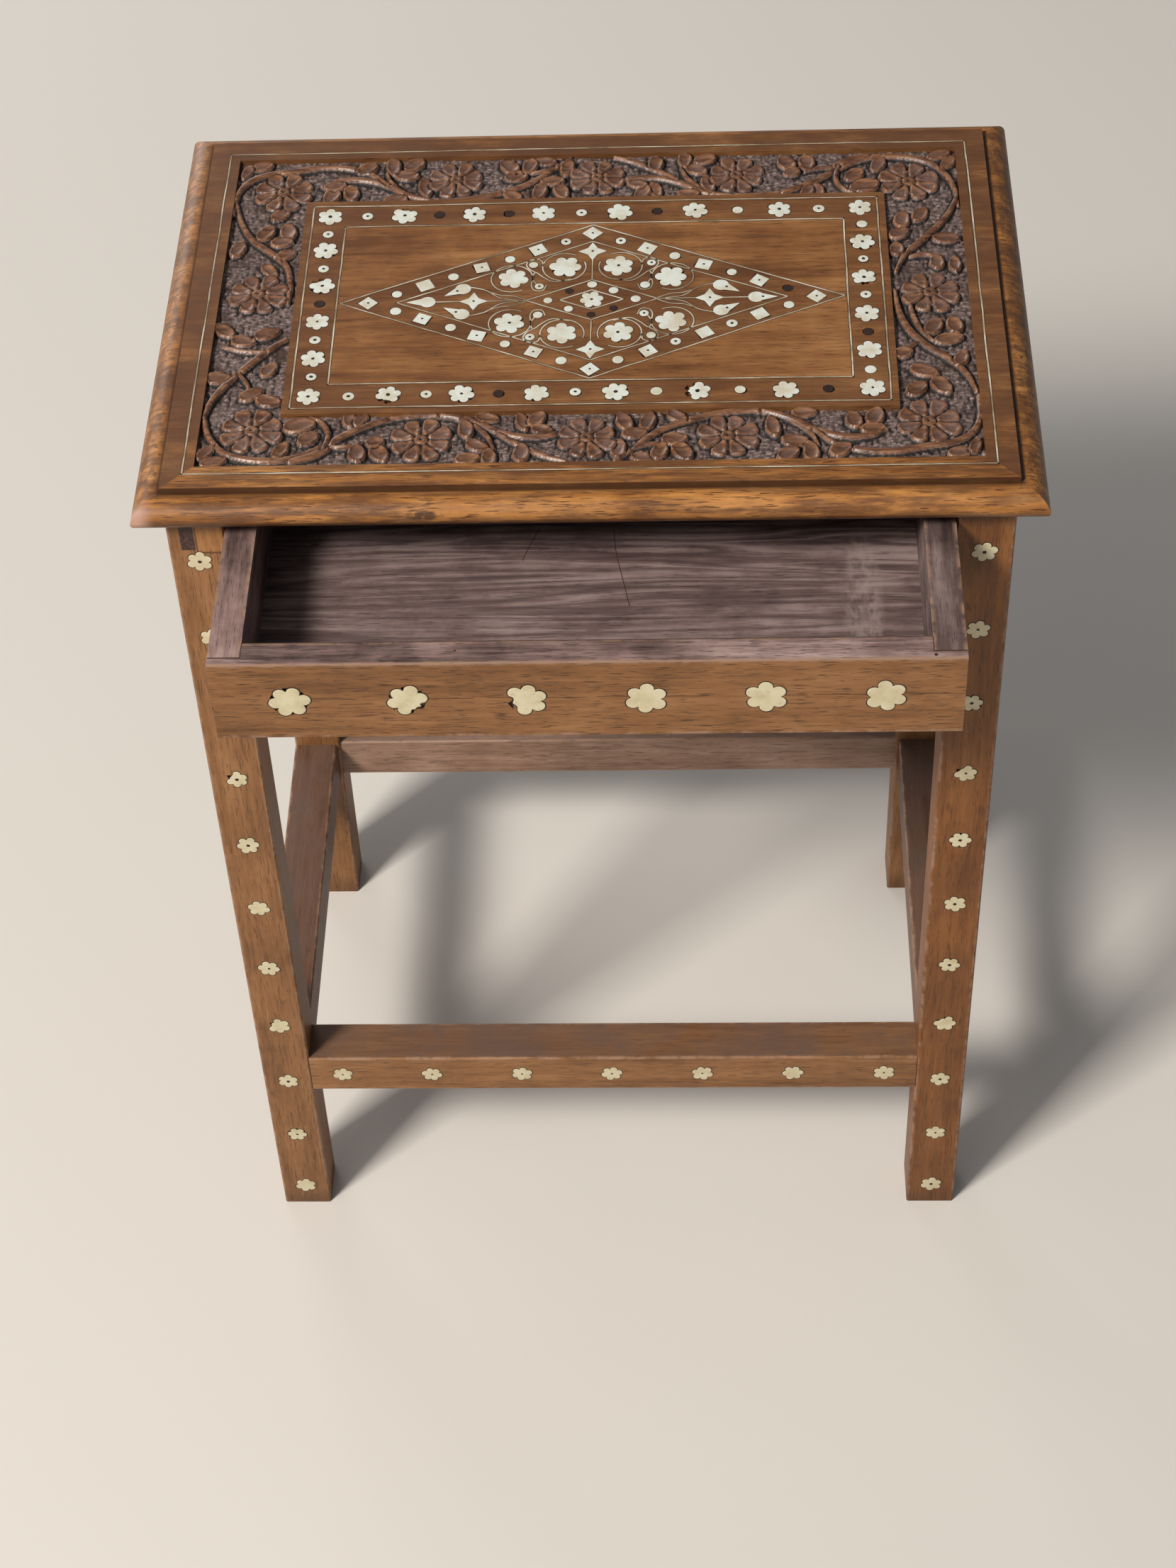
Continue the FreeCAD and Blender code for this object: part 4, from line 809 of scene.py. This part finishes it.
ROSETTES = (
    (-128, -74, 12.4, 0.03), (128, -74, 12.4, -0.04), (-128, 74, 12.2, 0.02), (128, 74, 12.2, 0.0),
    (-63, -80.5, 11.8, 0.04), (-0.5, -80.5, 11.2, -0.03), (52.5, -80.5, 11.8, 0.02),
    (-57, 80.5, 11.4, 0.0), (1, 80.5, 11.2, 0.03), (58, 80.5, 11.4, -0.02),
    (-132.75, 8, 12.0, -0.03), (132.75, 2.5, 12.0, 0.04),
)


def build_carving():
    relief = Relief()
    for half_turn in (False, True):
        for parts in (FRONT_LEFT, FRONT_RIGHT):
            carve(relief, parts, half_turn)
    for parts in (LEFT_SIDE, RIGHT_SIDE):
        carve(relief, parts)
    for rosette in ROSETTES:
        relief.rosette(*rosette)
    relief.build(carved_wood())


# Bone inlay; heights are above the wood, and look 0 is bone, look 1 its dark filler

PETALS = 6
SEAT, FILLER_TOP, EMPTY_TOP = -0.2, 0.03, 0.04
BONE_EDGE, BONE_TOP, HOLE_TOP = 0.1, 0.16, 0.19
EASED = 0.22
THIN = 0.25


def petal_outline(radius, turn, broken=()):
    """Round petals with notches between; a broken petal ends short and ragged."""
    points = []
    for petal in range(PETALS):
        middle = turn + 2 * math.pi * petal / PETALS
        size = radius * RNG.uniform(0.95, 1.04)
        for a in np.linspace(-0.5, 0.5, 9)[:-1] * 2 * math.pi / PETALS:
            c, rho = 0.66 * size, 0.35 * size
            r = c * math.cos(a) + math.sqrt(max(rho * rho - (c * math.sin(a)) ** 2, 0.0))
            if petal in broken:
                r = min(r, radius * (0.64 + RNG.uniform(-0.06, 0.08)))
            points.append((r * math.cos(middle + a), r * math.sin(middle + a)))
    return np.array(points)


def grown(outline, amount):
    """The outline moved outward by an amount, along its rays from the middle."""
    reach = np.hypot(*outline.T)[:, None]
    return outline * (1 + amount / reach)


def polar(radius, angles):
    return np.stack([radius * np.cos(angles), radius * np.sin(angles)], -1)


def circle(radius, count=20):
    return polar(radius, np.arange(count) * 2 * math.pi / count)


def inlay(node, looks, body="table", base=TOP_FRAME):
    return Pieces("bone_" + node, body, "bone", looks, base, node)


def bone_piece(pieces, spot, outline, hole=0.0, filler=0.35):
    """A bone piece with eased edges in a line of dark filler, drilled where asked."""
    spot = np.array(spot)
    pieces.plate(grown(outline, filler) + spot, SEAT, FILLER_TOP, 1)
    low = pieces.ring(outline + spot, 0.0)
    edge = pieces.ring(outline + spot, BONE_EDGE)
    top = pieces.ring(grown(outline, -EASED) + spot, BONE_TOP)
    pieces.bridge(low, edge, 0)
    pieces.bridge(edge, top, 0)
    pieces.face(top, 0)
    if hole:
        ring = circle(hole, 12) * (1 + RNG.uniform(-0.12, 0.12, (12, 1))) + spot
        pieces.face(pieces.ring(ring, HOLE_TOP), 1)


def empty_seat(pieces, outline, spot):
    pieces.plate(outline + np.array(spot), SEAT, EMPTY_TOP, 1)


def jitter(amount):
    return RNG.uniform(-amount, amount, 2)


def even(count, half):
    return [half * (2 * i / (count - 1) - 1) for i in range(count)]


BAND_X, BAND_Y = 107.5, 55.8
ROW_DRIFT = (0, 0, -2.5, -5, -5, -5, -2, 0)
ROW_X = [x + drift for x, drift in zip(even(8, BAND_X), ROW_DRIFT)]
COLUMN_Y = even(6, BAND_Y)
BROKEN_FLOWERS, BROKEN_PETALS = (1, 5, 9, 18, 22), ((1,), (4,), (2, 3))
WHOLE_FLOWERS = (3, 6, 12, 20)
LOST_DOTS = (2, 6, 8, 9, 11, 16, 20)


def build_panel_bone(looks):
    flowers = inlay("panel_flowers", looks)
    dots = inlay("panel_dots", looks)
    spots = [(x, end * BAND_Y) for end in (-1, 1) for x in ROW_X]
    spots += [(side * BAND_X, y) for side in (-1, 1) for y in COLUMN_Y[1:-1]]
    for number, spot in enumerate(spots):
        broken = BROKEN_PETALS[number % 3] if number in BROKEN_FLOWERS else ()
        hole = 0.0 if number in WHOLE_FLOWERS else RNG.uniform(0.55, 0.95)
        outline = petal_outline(5.0 * RNG.uniform(0.96, 1.05), RNG.uniform(0, 1.0), broken)
        bone_piece(flowers, spot + jitter(0.3), outline, hole)
    flowers.build()
    spots = [((a + b) / 2, end * BAND_Y) for end in (-1, 1) for a, b in zip(ROW_X, ROW_X[1:])]
    spots += [(side * BAND_X, (a + b) / 2) for side in (-1, 1) for a, b in zip(COLUMN_Y, COLUMN_Y[1:])]
    for number, spot in enumerate(spots):
        spot = spot + jitter(0.4)
        if number in LOST_DOTS:
            empty_seat(dots, circle(2.1, 14) * (1 + RNG.uniform(-0.1, 0.1, (14, 1))), spot)
        else:
            outline = circle(2.25 * RNG.uniform(0.9, 1.05))
            bone_piece(dots, spot, outline, RNG.choice((0.0, 0.6, 0.75)), THIN)
    dots.build()


def quarter_spots(x, y):
    return sorted({(sx * x, sy * y) for sx in (-1, 1) for sy in (-1, 1)})


# Places in one quarter of the diamond; the others mirror them
BORDER_SHARE, BORDER_STEPS = 0.887, 8
DIAMOND_FLOWERS = ((10.85, 20.7), (31.5, 13.8))
DIAMOND_LEAVES = ((67.3, 0.0, 0.0), (53.2, 6.5, -30.0))
DIAMOND_SEEDS = ((23.5, 22.4), (20.9, 8.8), (0, 9.2), (8.75, 5.5), (17.2, 0))
LOST_SEEDS = ((8.75, -5.5), (-8.75, 5.5), (0, -9.2))


def build_diamond_border(looks):
    """Squares and dots in turn along the edge of the diamond."""
    half_x, half_y = DIAMOND[0] * BORDER_SHARE, DIAMOND[1] * BORDER_SHARE
    lean = math.atan2(half_y, half_x)
    squares = inlay("diamond_squares", looks)
    dots = inlay("diamond_dots", looks)

    def box(turn):
        a = turn + math.pi / 4 + np.arange(4) * math.pi / 2
        return polar(4.2 * RNG.uniform(0.92, 1.04), a)

    for spot in ((half_x, 0), (-half_x, 0), (0, half_y), (0, -half_y)):
        bone_piece(squares, spot + jitter(0.2), box(math.pi / 4 + RNG.uniform(-0.1, 0.1)), 0.5, THIN)
    for step in range(1, BORDER_STEPS):
        for x, y in quarter_spots(half_x * (1 - step / BORDER_STEPS), half_y * step / BORDER_STEPS):
            spot = np.array((x, y)) + jitter(0.3)
            turn = (-lean if x * y > 0 else lean) + RNG.uniform(-0.15, 0.15)
            if step % 2 == 0:
                bone_piece(squares, spot, box(turn), RNG.choice((0.0, 0.0, 0.5)), THIN)
            elif step == 1 and x > 0 and y > 0:
                empty_seat(dots, circle(2.1, 14), spot)
            else:
                outline = circle(2.2 * RNG.uniform(0.88, 1.03))
                bone_piece(dots, spot, outline, RNG.choice((0.0, 0.0, 0.65)), THIN)
    squares.build()
    dots.build()


def build_diamond_bone(looks):
    flowers = inlay("diamond_flowers", looks)
    for x, y in DIAMOND_FLOWERS:
        for spot in quarter_spots(x, y):
            outline = petal_outline(6.2 * RNG.uniform(0.95, 1.03), RNG.uniform(0, 1.0))
            bone_piece(flowers, spot + jitter(0.4), outline, RNG.choice((0.0, 0.55, 0.7)), 0.3)
    flowers.build()
    heart = inlay("heart_flower", looks)
    bone_piece(heart, (0, 0), petal_outline(4.8, 0.2), 0.6, THIN)
    heart.build()

    stars = inlay("diamond_stars", looks)
    a = np.arange(8) * math.pi / 4
    reach = np.where(np.arange(8) % 2, 2.75, 5.5)
    for spot in quarter_spots(0, 30.4) + quarter_spots(46.5, 0):
        bone_piece(stars, spot, polar(reach, a) * RNG.uniform(0.96, 1.04), 0.55, THIN)
    stars.build()

    leaves = inlay("diamond_leaves", looks)
    bend = np.radians(np.linspace(40, 320, 13))
    drop = np.vstack([[(5.8, 0.0)], polar(3.2, bend) - (2.6, 0.0)])
    for x, y, turn in DIAMOND_LEAVES:
        c, s = math.cos(math.radians(turn)), math.sin(math.radians(turn))
        turned = np.stack([drop[:, 0] * c - drop[:, 1] * s, drop[:, 0] * s + drop[:, 1] * c], -1)
        for sx, sy in quarter_spots(x, y):
            side, end = (1 if sx > 0 else -1), (1 if sy >= 0 else -1)
            outline = (turned * (side, end))[::side * end]
            bone_piece(leaves, (sx, sy), outline, 0.55 if y or sx > 0 else 0.0, THIN)
    leaves.build()

    seeds = inlay("diamond_seeds", looks)
    for x, y in DIAMOND_SEEDS:
        for spot in quarter_spots(x, y):
            if spot in LOST_SEEDS:
                empty_seat(seeds, circle(1.7, 12), spot)
            else:
                spot = spot + jitter(0.2)
                outline = circle(1.85 * RNG.uniform(0.92, 1.08))
                bone_piece(seeds, spot, outline, RNG.choice((0.0, 0.0, 0.55)), THIN)
    seeds.build()


LEG_X, LEG_FIRST_Z, LEG_PITCH, LEG_COUNT = 148.5, 14, 41.0, 11
STRETCHER_ROW_X, STRETCHER_ROW_Z = even(7, 123.0), 101.0
DRAWER_ROW_X, DRAWER_ROW_Z = even(6, 108.5), 422.2
SMALL_FLOWER, DRAWER_FLOWER = 4.8, 7.7
BROKEN_ON_DRAWER = {1: (5,), 2: (3,)}


def build_front_bone(looks):
    for side, name in ((-1, "left"), (1, "right")):
        flowers = inlay(f"leg_flowers_{name}", looks, base=front_frame(LEG_Y))
        for number in range(LEG_COUNT):
            spot = (side * LEG_X, LEG_FIRST_Z + LEG_PITCH * number)
            broken = (2,) if number in (3, 7) else ()
            outline = petal_outline(SMALL_FLOWER * RNG.uniform(0.94, 1.04), RNG.uniform(0, 1.0), broken)
            bone_piece(flowers, spot, outline, RNG.choice((0.0, 0.6, 0.8)), 0.4)
        flowers.build()
    flowers = inlay("stretcher_flowers", looks, base=front_frame(LEG_Y))
    for x in STRETCHER_ROW_X:
        outline = petal_outline(SMALL_FLOWER * RNG.uniform(0.95, 1.03), RNG.uniform(0, 1.0))
        bone_piece(flowers, (x, STRETCHER_ROW_Z), outline, RNG.choice((0.0, 0.5)), 0.4)
    flowers.build()
    flowers = inlay("drawer_flowers", looks, "drawer", front_frame(DRAWER_Y))
    for number, x in enumerate(DRAWER_ROW_X):
        outline = petal_outline(DRAWER_FLOWER, 0.15 + 0.1 * number, BROKEN_ON_DRAWER.get(number, ()))
        bone_piece(flowers, (x, DRAWER_ROW_Z), outline, 0.0, 0.5)
    flowers.build()


# Inlaid wire and marks

def ribbon(pieces, points, width, height, look):
    line = np.array(points, float)
    run = np.gradient(line, axis=0)
    side = np.stack([-run[:, 1], run[:, 0]], -1) / np.maximum(np.hypot(*run.T), 1e-6)[:, None]
    left = pieces.ring(line + side * width / 2, height)
    right = pieces.ring(line - side * width / 2, height)
    for i in range(len(line) - 1):
        pieces.face((right[i], right[i + 1], left[i + 1], left[i]), look)


def wavy(start, end, wave=0.12):
    """A straight run laid by hand."""
    start, end = np.array(start, float), np.array(end, float)
    length = np.hypot(*(end - start))
    count = max(3, int(length / 3))
    t = np.linspace(0, 1, count)[:, None]
    off = np.cumsum(RNG.normal(size=count)) * 0.05
    off = (off - np.linspace(off[0], off[-1], count)).clip(-2 * wave, 2 * wave)
    side = np.array([-(end - start)[1], (end - start)[0]]) / length
    return start + (end - start) * t + off[:, None] * side


def arc(x, y, radius, start, end):
    a = np.radians(np.linspace(start, end, max(8, int(abs(end - start) / 9))))
    return polar(radius, a) + (x, y)


# Rectangles as half sizes, diamonds as shares, and the scrolls of one quarter as a width and points
WIRE_WIDTH, FINE_WIRE, WIRE_TOP = 0.58, 0.5, 0.05
GROOVE_MORE, GROOVE_TOP = 0.55, 0.025
WIRE_FRAMES = ((152.0, 99.2), (114.4, 62.7), (100.6, 48.9))
WIRE_DIAMONDS = (1.0, 0.774, 0.261, 0.126)
WIRE_NODES = ("border_wire", "panel_outer_wire", "panel_inner_wire", "diamond_outer_wire",
              "diamond_inner_wire", "heart_outer_wire", "heart_inner_wire")
SCROLLS = (
    (0.56, arc(11.2, 20.7, 8.6, -200, 120)),
    (0.56, arc(31.8, 13.8, 8.3, -120, 190)),
    (0.56, ((8.5, 13), (15, 11.5), (19, 14), (22.5, 17.5), (23.6, 13.8), (22, 10))),
    (0.56, ((19.5, 21), (20.5, 25), (24, 25.8), (26.3, 22.8), (25, 19.6), (22.5, 17.5))),
    (0.56, ((18, 9.5), (19.5, 6), (22.8, 6.4), (24, 9.5), (23.5, 13))),
    (0.54, ((26, 0.6), (31, 3), (36, 3.6), (40, 5.4))),
    (0.54, ((29, 0.4), (36, 1.8), (42, 6.8), (48.5, 9.0))),
)


def build_wires(wire, cut):
    wires = Pieces("inlaid_wires", "table", "brass_wire", [wire, cut], TOP_FRAME, *WIRE_NODES)

    def lay(points, width=WIRE_WIDTH):
        ribbon(wires, points, width + GROOVE_MORE, GROOVE_TOP, 1)
        ribbon(wires, points, width, WIRE_TOP, 0)

    def loop(corners, over=0.0):
        for a, b in zip(corners, corners[1:] + corners[:1]):
            a, b = np.array(a, float), np.array(b, float)
            run = (b - a) / np.hypot(*(b - a))
            lay(wavy(a - run * over, b + run * over))

    for hx, hy in WIRE_FRAMES:
        loop([(-hx, -hy), (hx, -hy), (hx, hy), (-hx, hy)], 0.3)
    for share in WIRE_DIAMONDS:
        hx, hy = DIAMOND[0] * share, DIAMOND[1] * share
        loop([(-hx, 0), (0, -hy), (hx, 0), (0, hy)])
    for flip in ((-1, -1), (-1, 1), (1, -1), (1, 1)):
        for width, points in SCROLLS:
            lay(spline(np.array(points) * flip, 0.8), width)
    for sy in (-1, 1):
        lay(wavy((0, sy * 12.4), (0, sy * 25.5)), FINE_WIRE)
    for sx in (-1, 1):
        lay(wavy((sx * 26, 0), (sx * 41.5, 0)), FINE_WIRE)
        lay(wavy((sx * 51.5, 0), (sx * 61.5, 0)), FINE_WIRE)
    wires.build()


MARK_TOP = 0.03
FRONT_CRACKS = ((-58, -47), (-30, -8), (10, 38), (66, 74), (88, 100), (118, 133))
NAIL_HOLES = (((125.5, -179.6), 0.7), ((-47.0, -175.0), 0.45))
FLOOR_CRACKS = (
    ((-20.5, -78.0), (-24.0, -88.0), (-26.5, -96.0)),
    ((8.5, -80.0), (9.5, -92.0), (12.0, -106.0), (15.0, -122.0)),
)


def build_marks(cut):
    """Cracks of the drawer's front and bottom, open joints of its ends, and nail holes."""
    marks = Pieces("drawer_crack", "drawer", "sheesham", [cut], front_frame(DRAWER_Y))
    ribbon(marks, wavy((-100, 423.6), (-84, 423.2), 0.3), 0.28, MARK_TOP, 0)
    for a, b in FRONT_CRACKS:
        ribbon(marks, wavy((a - 6, 423.4), (b + 6, 423.0), 0.3), 0.25, MARK_TOP, 0)
    marks.base = level_frame(DRAWER_TOP_Z)
    for side in (-1, 1):
        outer, inner, end = (side * 136.7, -177.6), (side * 124.9, -177.6), (side * 124.9, -170.2)
        ribbon(marks, wavy(outer, inner, 0.2), 0.5, MARK_TOP, 0)
        ribbon(marks, wavy(inner, end, 0.2), 0.3, MARK_TOP, 0)
    for spot, size in NAIL_HOLES:
        marks.face(marks.ring(circle(size, 10) + np.array(spot), MARK_TOP), 0)
    marks.base = level_frame(DRAWER_FLOOR_Z)
    for line in FLOOR_CRACKS:
        ribbon(marks, spline(line, 2.0), 0.3, MARK_TOP, 0)
    marks.build()


# Plain woods of the frame: node, axis of the grain, its shift, tones, dust on top and rubbed bar
FRAME_WOODS = (
    ("leg_back_left", "z", (0.3, 0.1, 0.2), WARM_TONES, 0.0, LEG_BAR),
    ("leg_back_right", "z", (0.6, 0.1, 0.2), WARM_TONES, 0.0, LEG_BAR),
    ("leg_front_right", "z", (1.2, 0.7, 0.2), DEEP_TONES, 0.0, LEG_BAR),
    ("stretcher_front", "x", (0.0, 0.3, 0.5), WARM_TONES, 0.85, LONG_BAR),
    # The back stretcher's wood is lightened as painted light against the shade it stands in
    ("stretcher_back", "x", (0.7, 0.3, 0.5), UNFINISHED_SHADE_LIFTED_TONES, 0.7, LONG_BAR),
    ("stretcher_left", "y", (0.4, 0.0, 0.1), DUSKY_TONES, 0.85, SHORT_BAR),
    ("stretcher_right", "y", (0.4, 0.23, 0.1), DUSKY_TONES, 0.85, SHORT_BAR),
    ("apron_back", "x", (0.17, 0.3, 0.5), WARM_TONES, 0.85),
    ("apron_right", "y", (0.4, 0.46, 0.1), DEEP_TONES),
    ("front_top_rail", "x", (0.34, 0.3, 0.5), WARM_TONES, 0.85),
)


def dress_frame():
    """Finishes of the solids themselves."""
    looks = {"top_board": top_wood(), "drawer_front": drawer_front_wood(),
             "leg_front_left": corner_leg_wood(), "apron_left": tenoned_wood()}
    for node, *values in FRAME_WOODS:
        looks[node] = wood("wood_" + node, *values)
    looks["drawer_side_left"] = raw_wood("raw_sides", "y", (0.2, 0.0, 0.6), PALE_TONES, bar=SIDE_BAR)
    looks["drawer_side_right"] = raw_wood("raw_side_right", "y", (0.8, 0.4, 0.2), DIM_TONES, 0.2, SIDE_BAR)
    looks["drawer_bottom"] = looks["drawer_back"] = floor_wood()
    # The spare sheesham shares the back stretcher's wood, lightened as painted light
    spare = {"sheesham": looks["stretcher_back"], "raw_wood": raw_wood("raw_strips", "y", (0.9, 0.2, 0.4)),
             "iron": even_material("iron", (0.055, 0.04, 0.032), 0.7, 0.6)}
    slots = {row["node"]: row["material_slot"] for row in frame["record"]["subparts"]}
    for node, body in frame["nodes"].items():
        body.data.materials.clear()
        body.data.materials.append(looks.get(node) or spare.get(slots[node]) or BONE)


BONE = bone_material("bone", (0.63, 0.65, 0.585), (0.53, 0.48, 0.365))
WARM_BONE = bone_material("warm_bone", (0.6, 0.535, 0.36), (0.5, 0.42, 0.255))
FILLER = even_material("filler", (0.03, 0.015, 0.01), 0.7)
WIRE = wire_material()
CUT = even_material("knife_cut", (0.05, 0.022, 0.011), 0.6)

dress_frame()
build_carving()
build_panel_bone([BONE, FILLER])
build_diamond_border([BONE, FILLER])
build_diamond_bone([BONE, FILLER])
build_front_bone([WARM_BONE, FILLER])
build_wires(WIRE, CUT)
build_marks(CUT)
place_camera()
build_stage()
bpy.context.scene.view_settings.view_transform = "Standard"
